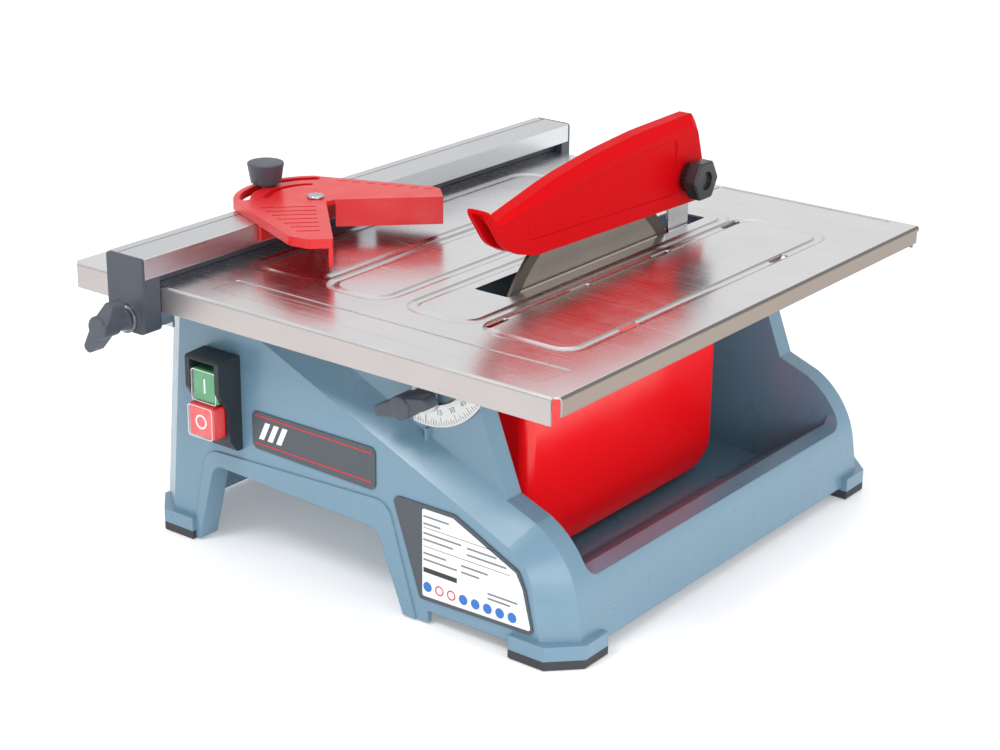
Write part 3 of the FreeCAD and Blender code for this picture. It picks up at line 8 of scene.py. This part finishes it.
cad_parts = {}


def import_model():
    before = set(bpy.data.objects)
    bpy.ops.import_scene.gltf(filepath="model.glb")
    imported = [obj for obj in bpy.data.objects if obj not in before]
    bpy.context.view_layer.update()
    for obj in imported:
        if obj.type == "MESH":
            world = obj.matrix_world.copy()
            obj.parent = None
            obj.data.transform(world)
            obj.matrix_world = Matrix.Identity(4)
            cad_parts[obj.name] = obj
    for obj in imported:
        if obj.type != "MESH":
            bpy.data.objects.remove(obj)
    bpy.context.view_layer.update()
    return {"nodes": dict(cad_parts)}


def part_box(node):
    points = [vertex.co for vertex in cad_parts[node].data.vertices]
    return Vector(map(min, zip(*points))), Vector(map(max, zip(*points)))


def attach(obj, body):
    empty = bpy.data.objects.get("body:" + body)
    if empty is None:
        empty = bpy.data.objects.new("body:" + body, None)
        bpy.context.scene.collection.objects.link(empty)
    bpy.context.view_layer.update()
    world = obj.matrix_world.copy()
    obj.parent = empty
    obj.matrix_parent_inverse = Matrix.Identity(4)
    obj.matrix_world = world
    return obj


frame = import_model()
NODES = frame["nodes"]
MM = 0.001

# ---------------------------------------------------------------- places taken from the CAD model

def middle(corners):
    """Middle of a box given as its lowest and highest corner."""
    return (corners[0] + corners[1]) / 2


PLATE_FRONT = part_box("name_plate")[0].y
BLADE_MID = middle(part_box("saw_blade"))
BLADE_RADIUS = 100.0 * MM   # the true size, since the meshed disc's box is a hair smaller
RIM_WIDTH = 8.0 * MM        # gritty rim of the blade
PIVOT = middle(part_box("pivot_bolts"))
SCALE_RADIUS = PIVOT.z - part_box("front_tilt_bracket")[0].z
SCALE_FACE = -158.6 * MM    # front of the tilt bracket's plate; its tab reaches further forward


# ---------------------------------------------------------------- node material helpers

def linear(r, g, b):
    """Linear colour from 8-bit sRGB values."""
    def one(v):
        v /= 255
        return v / 12.92 if v <= 0.04045 else ((v + 0.055) / 1.055) ** 2.4
    return (one(r), one(g), one(b), 1.0)


def tinted(colour, factor):
    return tuple(min(1.0, c * factor) for c in colour[:3]) + (1.0,)


class Shader:
    """One Principled material with short ways to add the nodes that drive it."""

    def __init__(self, name, metallic=0.0, coat=0.0, coat_rough=0.1, ior=1.5, specular=0.5):
        self.mat = bpy.data.materials.new(name)
        self.mat.use_nodes = True
        self.tree = self.mat.node_tree
        self.bsdf = self.tree.nodes["Principled BSDF"]
        self.bsdf.inputs["Metallic"].default_value = metallic
        self.bsdf.inputs["Coat Weight"].default_value = coat
        self.bsdf.inputs["Coat Roughness"].default_value = coat_rough
        self.bsdf.inputs["IOR"].default_value = ior
        self.bsdf.inputs["Specular IOR Level"].default_value = specular
        self.where = self.add("ShaderNodeTexCoord").outputs["Object"]

    def add(self, kind, **settings):
        node = self.tree.nodes.new(kind)
        for key, value in settings.items():
            setattr(node, key, value)
        return node

    def link(self, source, target):
        self.tree.links.new(source, target)

    def stretched(self, scale):
        node = self.add("ShaderNodeMapping")
        node.inputs["Scale"].default_value = scale
        self.link(self.where, node.inputs["Vector"])
        return node.outputs["Vector"]

    def noise(self, scale, detail=2.0, stretch=None):
        node = self.add("ShaderNodeTexNoise")
        node.inputs["Scale"].default_value = scale
        node.inputs["Detail"].default_value = detail
        self.link(self.stretched(stretch) if stretch else self.where, node.inputs["Vector"])
        return node.outputs["Fac"]

    def span(self, value, low, high, start=0.3, end=0.7):
        """Maps a 0 to 1 pattern onto a range, with clamped ends."""
        node = self.add("ShaderNodeMapRange")
        node.inputs["From Min"].default_value = start
        node.inputs["From Max"].default_value = end
        node.inputs["To Min"].default_value = low
        node.inputs["To Max"].default_value = high
        self.link(value, node.inputs["Value"])
        return node.outputs["Result"]

    def math(self, kind, a, b=None):
        node = self.add("ShaderNodeMath", operation=kind)
        for socket, value in zip(node.inputs, (a, b)):
            if isinstance(value, (int, float)):
                socket.default_value = value
            elif value is not None:
                self.link(value, socket)
        return node.outputs["Value"]

    def blend(self, factor, a, b):
        """Mix of two colours, each a tuple or a socket."""
        node = self.add("ShaderNodeMix", data_type="RGBA")
        self.link(factor, node.inputs["Factor"])
        for socket, value in ((node.inputs[6], a), (node.inputs[7], b)):
            if isinstance(value, tuple):
                socket.default_value = value
            else:
                self.link(value, socket)
        return node.outputs[2]

    def base(self, value):
        self.link(value, self.bsdf.inputs["Base Color"])
        return self

    def rough(self, value):
        self.link(value, self.bsdf.inputs["Roughness"])
        return self

    def relief(self, height, strength, depth, edge=0.0):
        """Bump from a height pattern over edges softened by the given radius."""
        bump = self.add("ShaderNodeBump")
        bump.inputs["Strength"].default_value = strength
        bump.inputs["Distance"].default_value = depth
        self.link(height, bump.inputs["Height"])
        if edge:
            round_edge = self.add("ShaderNodeBevel", samples=4)
            round_edge.inputs["Radius"].default_value = edge
            self.link(round_edge.outputs["Normal"], bump.inputs["Normal"])
        self.link(bump.outputs["Normal"], self.bsdf.inputs["Normal"])
        return self


def plastic(name, colour, low, high, grain=1400.0, strength=0.25, edge=0.7 * MM, mottle=0.05,
            coat=0.0, specular=0.5):
    """Moulded plastic: fine spark-eroded grain, slow colour drift and uneven gloss.

    low and high bound the roughness, grain and strength are those of the surface relief, edge is the
    radius of softened edges and mottle the share by which the colour drifts.
    """
    s = Shader(name, coat=coat, coat_rough=0.22, specular=specular)
    drift = s.noise(14.0, 3.0)
    s.base(s.blend(drift, tinted(colour, 1 - mottle), tinted(colour, 1 + mottle)))
    fine = s.noise(grain, 2.0)
    gloss = s.math("ADD", s.span(s.noise(60.0, 3.0), low, high), s.span(fine, -0.02, 0.02))
    s.rough(gloss)
    s.relief(fine, strength, 0.05 * MM, edge)
    return s.mat


def metal(name, colour, low, high, stretch=(1, 1, 1), grain=900.0, strength=0.15, edge=0.4 * MM,
          smudge=0.06):
    """Worked metal: streaks along the working direction over slow smudges.

    The axis with the smallest stretch is the working direction; the other values are as for plastic.
    """
    s = Shader(name, metallic=1.0)
    streak = s.noise(grain, 2.0, stretch)
    drift = s.noise(18.0, 3.0)
    s.base(s.blend(drift, tinted(colour, 1 - smudge), tinted(colour, 1 + smudge)))
    s.rough(s.math("ADD", s.span(streak, low, high), s.span(drift, -0.03, 0.03)))
    s.relief(streak, strength, 0.02 * MM, edge)
    return s.mat


# ---------------------------------------------------------------- materials

BLUE_GREY = linear(104, 139, 160)
# Painted light: the blade cover's red is set brighter than RED_TOP to lift it out of the table's shadow.
RED_LIFTED_FROM_SHADE = linear(255, 5, 14)
RED_TOP = linear(214, 12, 20)
DARK = linear(68, 74, 84)

housing = plastic("housing_plastic", BLUE_GREY, 0.27, 0.35, 1600.0, 0.08, 0.9 * MM, 0.02, coat=0.2,
                  specular=0.7)
# Painted light: the blade cover uses the brightened red, which stands in for light under the table.
red_gloss = plastic("red_gloss_plastic", RED_LIFTED_FROM_SHADE, 0.12, 0.22, 500.0, 0.05, 0.7 * MM, 0.04, coat=0.2)
red_satin = plastic("red_satin_plastic", tinted(RED_TOP, 0.88), 0.30, 0.40, 1200.0, 0.10, 0.6 * MM, 0.03,
                    specular=0.03)
mitre_red = plastic("mitre_red_plastic", RED_TOP, 0.26, 0.38, 1200.0, 0.15, 0.6 * MM, 0.04, coat=0.15)
dark_plastic = plastic("dark_grey_plastic", DARK, 0.34, 0.48, 1500.0, 0.4, 0.6 * MM, 0.08)
switch_plastic = plastic("switch_box_plastic", linear(36, 41, 48), 0.40, 0.55, 1500.0, 0.6, 0.5 * MM,
                         0.1)
black_gloss = plastic("black_knob_plastic", linear(34, 36, 40), 0.22, 0.34, 900.0, 0.2, 0.8 * MM, 0.1)
rubber = plastic("pad_rubber", linear(52, 54, 59), 0.55, 0.7, 1100.0, 0.5, 0.6 * MM, 0.12)
green_plastic = plastic("green_button_plastic", linear(20, 148, 82), 0.2, 0.3, 600.0, 0.06, 0.5 * MM,
                        0.04)
button_red = plastic("red_button_plastic", linear(224, 22, 36), 0.2, 0.3, 600.0, 0.06, 0.5 * MM, 0.04)
can_plastic = plastic("capacitor_can", linear(205, 205, 198), 0.3, 0.4, 700.0, 0.1)
plate_dark = plastic("plate_ground", linear(70, 76, 84), 0.26, 0.34, 900.0, 0.05, 0.3 * MM, 0.05)
print_white = plastic("plate_white_print", linear(236, 238, 238), 0.3, 0.4, 900.0, 0.04, 0.0, 0.02)
print_grey = plastic("plate_grey_print", linear(120, 124, 128), 0.3, 0.4, 900.0, 0.04, 0.0, 0.05)
print_red = plastic("plate_red_print", linear(200, 30, 40), 0.3, 0.4, 900.0, 0.04, 0.0, 0.05)
print_blue = plastic("plate_blue_print", linear(40, 110, 190), 0.3, 0.4, 900.0, 0.04, 0.0, 0.05)
print_black = plastic("plate_black_print", linear(40, 42, 45), 0.3, 0.4, 900.0, 0.04, 0.0, 0.05)

zinc = metal("zinc_plated_steel", linear(190, 192, 196), 0.24, 0.38, (1, 1, 1), 500.0, 0.15)
plate_steel = metal("bracket_steel", linear(205, 205, 205), 0.26, 0.40, (0.1, 1, 1), 1300.0, 0.2)
dark_steel = metal("machined_steel", linear(140, 142, 146), 0.28, 0.42, (0.1, 1, 1), 1500.0, 0.2)
anodised = metal("anodised_aluminium", linear(214, 216, 219), 0.26, 0.36, (1, 0.015, 1), 2200.0, 0.2,
                 0.3 * MM, 0.03)
cast_alloy = metal("cast_alloy", linear(165, 167, 170), 0.40, 0.58, (1, 1, 1), 700.0, 0.5, 0.6 * MM)
copper = metal("varnished_copper", linear(190, 100, 60), 0.2, 0.35, (1, 1, 0.2), 1600.0, 0.5)


def stainless_sheet():
    """Rolled sheet: fine grain along X, long faint scratches and slow waves in the reflection.

    The folded edges are duller than the top and darker by painted shade, and the side ones have a line of
    painted shade at the fold.
    """
    s = Shader("stainless_sheet", metallic=1.0)
    grain = s.noise(2600.0, 2.0, (0.012, 1, 1))
    scratch = s.noise(700.0, 0.0, (0.02, 1.0, 1.0))
    wave = s.noise(9.0, 1.0)
    smudge = s.noise(26.0, 4.0)
    flat = s.blend(smudge, linear(224, 224, 226), linear(238, 238, 240))
    normal = s.add("ShaderNodeSeparateXYZ")
    s.link(s.add("ShaderNodeTexCoord").outputs["Normal"], normal.inputs["Vector"])
    side = s.span(s.math("ABSOLUTE", normal.outputs["X"]), 0.0, 1.0, 0.6, 0.95)
    front = s.span(s.math("ABSOLUTE", normal.outputs["Y"]), 0.0, 1.0, 0.6, 0.95)
    # Painted shade: the front folded edge gets a greyer colour and the side folded edges a darker
    # brown-grey, chosen by which way the surface faces.
    body = s.blend(side, s.blend(front, flat, linear(190, 184, 182)), linear(160, 148, 139))
    # Painted shade: a darker line along the fold where the side edges turn down from the top.
    painted_bend_shade = s.math("MULTIPLY", s.span(s.math("ABSOLUTE", normal.outputs["X"]), 0.0, 1.0, 0.15, 0.45),
                  s.span(normal.outputs["Z"], 0.0, 1.0, 0.05, 0.35))
    s.base(s.blend(painted_bend_shade, body, linear(128, 122, 118)))
    folded = s.math("MULTIPLY", s.math("MAXIMUM", side, front), 0.16)
    value = s.math("ADD", s.span(grain, 0.20, 0.28), s.span(smudge, -0.02, 0.05))
    value = s.math("ADD", value, folded)
    s.rough(s.math("ADD", value, s.span(scratch, 0.0, 0.10, 0.72, 0.80)))
    height = s.math("ADD", s.math("MULTIPLY", grain, 0.01), s.math("MULTIPLY", wave, 4.0))
    return s.relief(height, 0.35, 0.12 * MM, 0.5 * MM).mat


def ground_disc():
    """Blade: circular grinding marks on the core and a grey gritty rim, by distance from the axis."""
    s = Shader("blade_disc", metallic=1.0)
    split = s.add("ShaderNodeSeparateXYZ")
    s.link(s.where, split.inputs["Vector"])
    y = s.math("SUBTRACT", split.outputs["Y"], BLADE_MID.y)
    z = s.math("SUBTRACT", split.outputs["Z"], BLADE_MID.z)
    radius = s.math("SQRT", s.math("ADD", s.math("MULTIPLY", y, y), s.math("MULTIPLY", z, z)))
    ring_at = s.add("ShaderNodeCombineXYZ")
    s.link(radius, ring_at.inputs["X"])
    rings = s.add("ShaderNodeTexNoise")
    rings.inputs["Scale"].default_value = 3200.0
    s.link(ring_at.outputs["Vector"], rings.inputs["Vector"])
    ring_marks = rings.outputs["Fac"]
    rim_start = BLADE_RADIUS - RIM_WIDTH
    rim = s.span(radius, 0.0, 1.0, rim_start - 0.5 * MM, rim_start + 0.2 * MM)
    grit = s.noise(1500.0, 4.0)
    core = s.blend(s.noise(22.0, 3.0), linear(146, 137, 126), linear(168, 159, 148))
    s.base(s.blend(rim, core, linear(104, 98, 91)))
    core_rough = s.span(ring_marks, 0.20, 0.34)
    rim_rough = 0.62
    gap = s.math("SUBTRACT", rim_rough, core_rough)
    s.rough(s.math("ADD", core_rough, s.math("MULTIPLY", rim, gap)))
    core_marks = s.math("MULTIPLY", ring_marks, s.math("SUBTRACT", 1.0, rim))
    rim_marks = s.math("MULTIPLY", grit, rim)
    height = s.math("ADD", s.math("MULTIPLY", core_marks, 0.3), s.math("MULTIPLY", rim_marks, 6.0))
    return s.relief(height, 0.5, 0.05 * MM).mat


def clear_cover():
    """Soft clear silicone over the buttons."""
    s = Shader("clear_silicone", ior=1.41)
    haze = s.noise(90.0, 3.0)
    s.base(s.blend(haze, (0.90, 0.92, 0.92, 1.0), (0.97, 0.98, 0.98, 1.0)))
    s.link(s.span(haze, 0.05, 0.09), s.bsdf.inputs["Alpha"])
    s.rough(s.span(haze, 0.10, 0.22))
    return s.relief(s.noise(400.0, 2.0), 0.1, 0.05 * MM).mat


stainless = stainless_sheet()
blade_disc = ground_disc()
clear = clear_cover()
cover_edge = plastic("cover_edge", linear(226, 222, 220), 0.2, 0.3, 900.0, 0.05, 0.0, 0.04)

NODE_MATERIALS = {
    housing: ["base_housing", "motor_cover"],
    red_gloss: ["blade_cover"],
    red_satin: ["guard_shell_left", "guard_shell_right"],
    mitre_red: ["mitre_saddle", "mitre_arm"],
    dark_plastic: ["cable_gland", "cooling_fan", "guard_bolt", "front_bevel_knob", "back_bevel_knob",
                   "fence_strip", "front_end_cap", "back_end_cap", "front_clamp_knob",
                   "back_clamp_knob", "mitre_jaw", "mitre_knob"],
    switch_plastic: ["switch_housing", "switch_module"],
    black_gloss: ["guard_knob"],
    rubber: ["foot_pads", "shaft_seal"],
    green_plastic: ["green_button"],
    button_red: ["red_button"],
    can_plastic: ["run_capacitor"],
    plate_dark: ["name_plate", "rating_plate"],
    stainless: ["table_top"],
    plate_steel: ["riving_knife", "front_tilt_bracket", "back_tilt_bracket", "knife_bracket"],
    zinc: ["foot_screws", "housing_screws", "inner_flange", "outer_flange", "arbor_nut", "knife_screws",
           "guard_screws", "pivot_bolts", "bevel_bolts", "bevel_washers", "clamp_jaws", "clamp_bolts",
           "clamp_washers", "mitre_stud", "mitre_rivet", "motor_bearings", "motor_bolts"],
    dark_steel: ["motor_stator", "motor_shaft", "rotor_core"],
    anodised: ["fence_extrusion"],
    cast_alloy: ["motor_front_shield", "motor_rear_shield"],
    copper: ["motor_windings"],
    blade_disc: ["saw_blade"],
}


SHARP_ANGLE = math.radians(32)


def smooth(mesh):
    """Smooth shading, with a sharp edge kept where faces meet at more than SHARP_ANGLE."""
    for face in mesh.polygons:
        face.use_smooth = True
    mesh.set_sharp_from_angle(angle=SHARP_ANGLE)


for material, names in NODE_MATERIALS.items():
    for name in names:
        node = NODES[name]
        node.data.materials.clear()
        node.data.materials.append(material)
        smooth(node.data)

unpainted = set(NODES) - {n for names in NODE_MATERIALS.values() for n in names}
if unpainted:
    raise SystemExit(f"no material for {sorted(unpainted)}")


# ---------------------------------------------------------------- mesh helpers

SOFTENED_ANGLE = math.radians(40)    # edges that turn by more than this get the bevel


def piece(name, bm, material, body, soften=None):
    """Links a bmesh as a named piece that rides on a body; soften is a bevel width."""
    mesh = bpy.data.meshes.new(name)
    bmesh.ops.recalc_face_normals(bm, faces=bm.faces)
    bm.to_mesh(mesh)
    bm.free()
    obj = bpy.data.objects.new(name, mesh)
    bpy.context.scene.collection.objects.link(obj)
    mesh.materials.append(material)
    smooth(mesh)
    if soften:
        bevel = obj.modifiers.new("soft_edges", "BEVEL")
        bevel.width = soften
        bevel.segments = 2
        bevel.limit_method = "ANGLE"
        bevel.angle_limit = SOFTENED_ANGLE
    if body:
        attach(obj, body)
    return obj


def slab(bm, points, level, thick):
    """Adds a flat plate that faces the front, with its outline in (x, z), from y = level backwards."""
    front = [bm.verts.new((a, level, b)) for a, b in points]
    back = [bm.verts.new((a, level + thick, b)) for a, b in points]
    bm.faces.new(front)
    bm.faces.new(back)
    join(bm, front, back)


def join(bm, one, two):
    """Closes the gap between two loops of vertices with equal counts."""
    for i in range(len(one)):
        j = (i + 1) % len(one)
        bm.faces.new((one[i], one[j], two[j], two[i]))


def rect(x0, x1, z0, z1):
    """Corners of a rectangle, in order round it."""
    return [(x0, z0), (x1, z0), (x1, z1), (x0, z1)]


def rounded(points, radius, steps=5):
    """Outline with every corner replaced by an arc."""
    out = []
    for i, point in enumerate(points):
        here = Vector(point)
        a = (Vector(points[i - 1]) - here).normalized()
        b = (Vector(points[(i + 1) % len(points)]) - here).normalized()
        half = a.angle(b) / 2
        reach = radius / math.tan(half)
        centre = here + (a + b).normalized() * (radius / math.sin(half))
        start, end = here + a * reach - centre, here + b * reach - centre
        turn = start.angle_signed(end)
        for k in range(steps + 1):
            spot = start.copy()
            spot.rotate(Matrix.Rotation(-turn * k / steps, 2))
            out.append(tuple(centre + spot))
    return out


def circle(cx, cz, radius, count):
    """Circle as a list of (x, z) points."""
    turns = [2 * math.pi * i / count for i in range(count)]
    return [(cx + radius * math.cos(t), cz + radius * math.sin(t)) for t in turns]


def frame_slab(bm, outer, inner, level, thick):
    """Adds a flat closed frame between two outlines with equal counts, from y = level backwards."""
    back = level + thick
    edges = ((outer, level), (inner, level), (inner, back), (outer, back))
    loops = [[bm.verts.new((a, y, b)) for a, b in points] for points, y in edges]
    for k in range(4):
        join(bm, loops[k], loops[(k + 1) % 4])


def ring_slab(bm, cx, cz, outer, inner, level, thick, count=40):
    """Adds a flat ring that faces the front."""
    frame_slab(bm, circle(cx, cz, outer, count), circle(cx, cz, inner, count), level, thick)


# ---------------------------------------------------------------- plates, switch and scale

PRINT_PROUD = 0.12 * MM        # how far a print stands in front of its plate
PRINT_THICK = 0.2 * MM
OVERPRINT_THICK = 0.15 * MM    # lines and discs on the white panel


def in_mm(points):
    """Points given in millimetres, as metres."""
    return [(a * MM, b * MM) for a, b in points]


def name_plate_print():
    """Generic stripes on the name plate: no name is shown."""
    y = PLATE_FRONT - PRINT_PROUD
    bm = bmesh.new()
    for z in (79.4, 97.4):
        slab(bm, in_mm([(-58.5, z), (33.0, z - 0.9), (33.0, z - 0.1), (-58.5, z + 0.8)]), y, PRINT_THICK)
    piece("name_plate_stripes", bm, print_red, "base")
    bm = bmesh.new()
    for i in range(3):
        x = -56.0 + 7.0 * i
        slab(bm, in_mm([(x, 83.0), (x + 4.0, 83.0), (x + 9.5, 94.5), (x + 5.5, 94.5)]), y, PRINT_THICK)
    piece("name_plate_slashes", bm, print_white, "base")


def rating_plate_print():
    """White panel with generic grey lines and a row of plain discs."""
    y = PLATE_FRONT - PRINT_PROUD
    panel = in_mm([(70.6, 18.6), (148.4, 20.4), (142.2, 44.5), (137.6, 53.0), (92.8, 73.4), (70.6, 73.4)])
    bm = bmesh.new()
    slab(bm, rounded(panel, 1.5 * MM), y, PRINT_THICK)
    piece("rating_panel", bm, print_white, "base")
    y -= 0.1 * MM
    left, middle_column, right = 71.5, 99.0, 118.0
    rows = [(69.0, left, 90.0), (64.5, left, 84.0), (58.5, left, 99.0), (54.5, left, 93.0),
            (46.0, left, 88.0), (42.0, left, 96.0), (58.0, 103.0, 124.0), (54.0, 103.0, 131.0),
            (46.0, middle_column, 118.0), (42.0, middle_column, 112.0), (34.5, right, 139.0),
            (31.5, right, 134.0)]
    bm = bmesh.new()
    for z, x0, x1 in rows:
        slab(bm, in_mm(rect(x0, x1, z - 0.55, z + 0.55)), y, OVERPRINT_THICK)
    piece("rating_lines", bm, print_grey, "base")
    bm = bmesh.new()
    slab(bm, in_mm(rect(left, 96.0, 34.0, 37.0)), y, OVERPRINT_THICK)
    low_rule, high_rule = 50.3, 62.0
    for z in (low_rule, high_rule):
        end = 134.0 - (z - low_rule)
        slab(bm, in_mm(rect(left, end, z - 0.15, z + 0.15)), y, OVERPRINT_THICK)
    piece("rating_dark_lines", bm, print_black, "base")
    rating_discs(y)


def rating_discs(y):
    """Row of plain discs along the foot of the rating plate; the second and third are open rings."""
    disc_radius, hole_radius, count = 3.1 * MM, 2.3 * MM, 28
    bm_blue, bm_red = bmesh.new(), bmesh.new()
    for i in range(8):
        x, z = (74.5 + 8.7 * i) * MM, (25.0 - 0.02 * i) * MM
        if i in (1, 2):
            ring_slab(bm_red, x, z, disc_radius, hole_radius, y, OVERPRINT_THICK, count)
        else:
            slab(bm_blue, circle(x, z, disc_radius, count), y, OVERPRINT_THICK)
    piece("rating_discs", bm_blue, print_blue, "base")
    piece("rating_rings", bm_red, print_red, "base")


def inner_points(points, inset):
    """The outline drawn in towards its middle by an inset on each side."""
    mid_x = (min(a for a, b in points) + max(a for a, b in points)) / 2
    mid_z = (min(b for a, b in points) + max(b for a, b in points)) / 2
    half_x = max(a for a, b in points) - mid_x
    half_z = max(b for a, b in points) - mid_z
    return [(mid_x + (a - mid_x) * (1 - inset / half_x), mid_z + (b - mid_z) * (1 - inset / half_z))
            for a, b in points]


def button_cover(name, button_box, depth, body):
    """Clear cap over a button, open at the back, with a bright edge round its front."""
    wall, grow, stand_off = 0.5 * MM, 0.15 * MM, 1.0 * MM
    gap = 0.02 * MM
    low, high = button_box
    outer = rounded(rect(low.x - grow, high.x + grow, low.z - grow, high.z + grow), 1.8 * MM, 4)
    inner = rounded(rect(low.x + gap, high.x - gap, low.z + gap, high.z - gap), 1.7 * MM, 4)
    front, rear = low.y - stand_off, low.y + depth
    bm = bmesh.new()
    loops = [[bm.verts.new((a, y, b)) for a, b in points]
             for points, y in ((inner, rear), (outer, rear), (outer, front), (inner, front + wall))]
    join(bm, loops[0], loops[1])
    join(bm, loops[1], loops[2])
    join(bm, loops[0], loops[3])
    bm.faces.new(loops[2])
    bm.faces.new(loops[3])
    piece(name, bm, clear, body, 0.4 * MM)
    bm = bmesh.new()
    frame_slab(bm, outer, inner_points(outer, 0.45 * MM), front - gap, 0.1 * MM)
    piece(name + "_edge", bm, cover_edge, body)


def switch_marks():
    """I and O on the buttons, and a clear cover over each."""
    proud, thick = 0.1 * MM, 0.2 * MM
    green_box, red_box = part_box("green_button"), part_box("red_button")
    green, red = middle(green_box), middle(red_box)
    bm = bmesh.new()
    stroke = rect(green.x - 0.6 * MM, green.x + 0.6 * MM, green.z - 4.6 * MM, green.z + 4.6 * MM)
    slab(bm, rounded(stroke, 0.3 * MM, 3), green_box[0].y - proud, thick)
    piece("on_mark", bm, print_white, "on_button")
    bm = bmesh.new()
    ring_slab(bm, red.x, red.z, 4.6 * MM, 3.5 * MM, red_box[0].y - proud, thick)
    piece("off_mark", bm, print_white, "off_button")
    button_cover("on_cover", green_box, 8.2 * MM, "on_button")
    button_cover("off_cover", red_box, 9.4 * MM, "off_button")


TICK_STEP = math.radians(2.5)


def scale_marks():
    """Degree ticks and plain numbers on the front tilt bracket."""
    bm = bmesh.new()
    for i in range(-4, 25):
        length = 5.0 * MM if i % 6 == 0 else 3.4 * MM if i % 2 == 0 else 2.2 * MM
        scale_tick(bm, TICK_STEP * i, SCALE_RADIUS - 1.0 * MM, length)
    piece("tilt_ticks", bm, print_grey, "table")
    for number in (0, 15, 30, 45):
        scale_number(number, SCALE_RADIUS - 8.6 * MM)


def scale_tick(bm, turn, outer, length):
    """Adds one tick; turn is its angle from straight down, outer the radius of its outer end."""
    half_width = 0.16 * MM
    inner = outer - length
    corners = []
    for r, w in ((outer, -half_width), (outer, half_width), (inner, half_width), (inner, -half_width)):
        corners.append((PIVOT.x + r * math.sin(turn) + w * math.cos(turn),
                        PIVOT.z - r * math.cos(turn) + w * math.sin(turn)))
    slab(bm, corners, SCALE_FACE - 0.08 * MM, 0.15 * MM)


def scale_number(number, radius):
    """One degree number on the scale, upright along its own radius."""
    turn = math.radians(number)
    text = bpy.data.curves.new(f"tilt_number_{number}", "FONT")
    text.body = str(number)
    text.size = 4.6 * MM
    text.extrude = 0.08 * MM
    text.align_x = "CENTER"
    text.align_y = "CENTER"
    text.materials.append(print_grey)
    obj = bpy.data.objects.new(text.name, text)
    bpy.context.scene.collection.objects.link(obj)
    spot = (PIVOT.x + radius * math.sin(turn), SCALE_FACE, PIVOT.z - radius * math.cos(turn))
    obj.matrix_world = (Matrix.Translation(spot) @ Matrix.Rotation(-turn, 4, "Y")
                        @ Matrix.Rotation(math.radians(90), 4, "X"))
    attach(obj, "table")


name_plate_print()
rating_plate_print()
switch_marks()
scale_marks()


# ---------------------------------------------------------------- floor, light and camera

def floor():
    """Large flat pale floor; it glows a little, so that the shadows stay light."""
    side, front, back = 6.0, -6.0, 3.0
    glow = 0.22
    bm = bmesh.new()
    bm.faces.new([bm.verts.new((x, y, 0.0)) for x, y in rect(-side, side, front, back)])
    s = Shader("pale_floor")
    tone = s.noise(3.0, 2.0)
    s.base(s.blend(tone, (0.94, 0.94, 0.945, 1.0), (0.96, 0.96, 0.965, 1.0)))
    s.bsdf.inputs["Emission Color"].default_value = (1.0, 1.0, 1.0, 1.0)
    s.bsdf.inputs["Emission Strength"].default_value = glow
    s.rough(s.span(s.noise(40.0, 3.0), 0.30, 0.40))
    obj = piece("floor", bm, s.mat, None)


def area(name, size, power, spot, target):
    """Soft rectangular lamp aimed at a point."""
    data = bpy.data.lights.new(name, "AREA")
    data.shape = "RECTANGLE"
    data.size, data.size_y = size
    data.energy = power
    obj = bpy.data.objects.new(name, data)
    bpy.context.scene.collection.objects.link(obj)
    obj.location = spot
    obj.rotation_euler = (Vector(target) - Vector(spot)).to_track_quat("-Z", "Y").to_euler()


CAMERA_SPOT = (0.7744, -1.0238, 0.5736)
CAMERA_YAW, CAMERA_PITCH, CAMERA_ROLL = (math.radians(a) for a in (37.356, 20.791, 0.674))
CAMERA_LENS = 76.8
SENSOR_WIDTH = 36.0


def camera():
    """Camera at the machine's front right, above the table and looking down on it."""
    sin_yaw, cos_yaw = math.sin(CAMERA_YAW), math.cos(CAMERA_YAW)
    level_reach = math.cos(CAMERA_PITCH)
    forward = Vector((-sin_yaw * level_reach, cos_yaw * level_reach, -math.sin(CAMERA_PITCH)))
    level = Vector((cos_yaw, sin_yaw, 0))
    upright = level.cross(forward)
    right = math.cos(CAMERA_ROLL) * level + math.sin(CAMERA_ROLL) * upright
    up = math.cos(CAMERA_ROLL) * upright - math.sin(CAMERA_ROLL) * level
    data = bpy.data.cameras.new("camera")
    data.lens = CAMERA_LENS
    data.sensor_width = SENSOR_WIDTH
    data.clip_start, data.clip_end = 0.05, 50.0
    obj = bpy.data.objects.new("camera", data)
    bpy.context.scene.collection.objects.link(obj)
    turn = Matrix((right, up, -forward)).transposed().to_4x4()
    obj.matrix_world = Matrix.Translation(CAMERA_SPOT) @ turn
    bpy.context.scene.camera = obj


def world():
    """Even white surroundings."""
    made = bpy.data.worlds.new("studio")
    made.use_nodes = True
    ground = made.node_tree.nodes["Background"]
    ground.inputs["Color"].default_value = (1.0, 1.0, 1.0, 1.0)
    ground.inputs["Strength"].default_value = 0.82
    bpy.context.scene.world = made


floor()
world()
area("key", (0.7, 0.7), 21.0, (-0.24, -1.42, 2.05), (0, 0, 0.1))
area("fill", (1.6, 0.8), 13.0, (1.75, -0.75, 0.5), (0.1, 0, 0.08))
area("top", (1.6, 1.6), 7.0, (0.2, 0.6, 2.2), (0, 0, 0.1))
camera()
bpy.context.scene.view_settings.view_transform = "Standard"
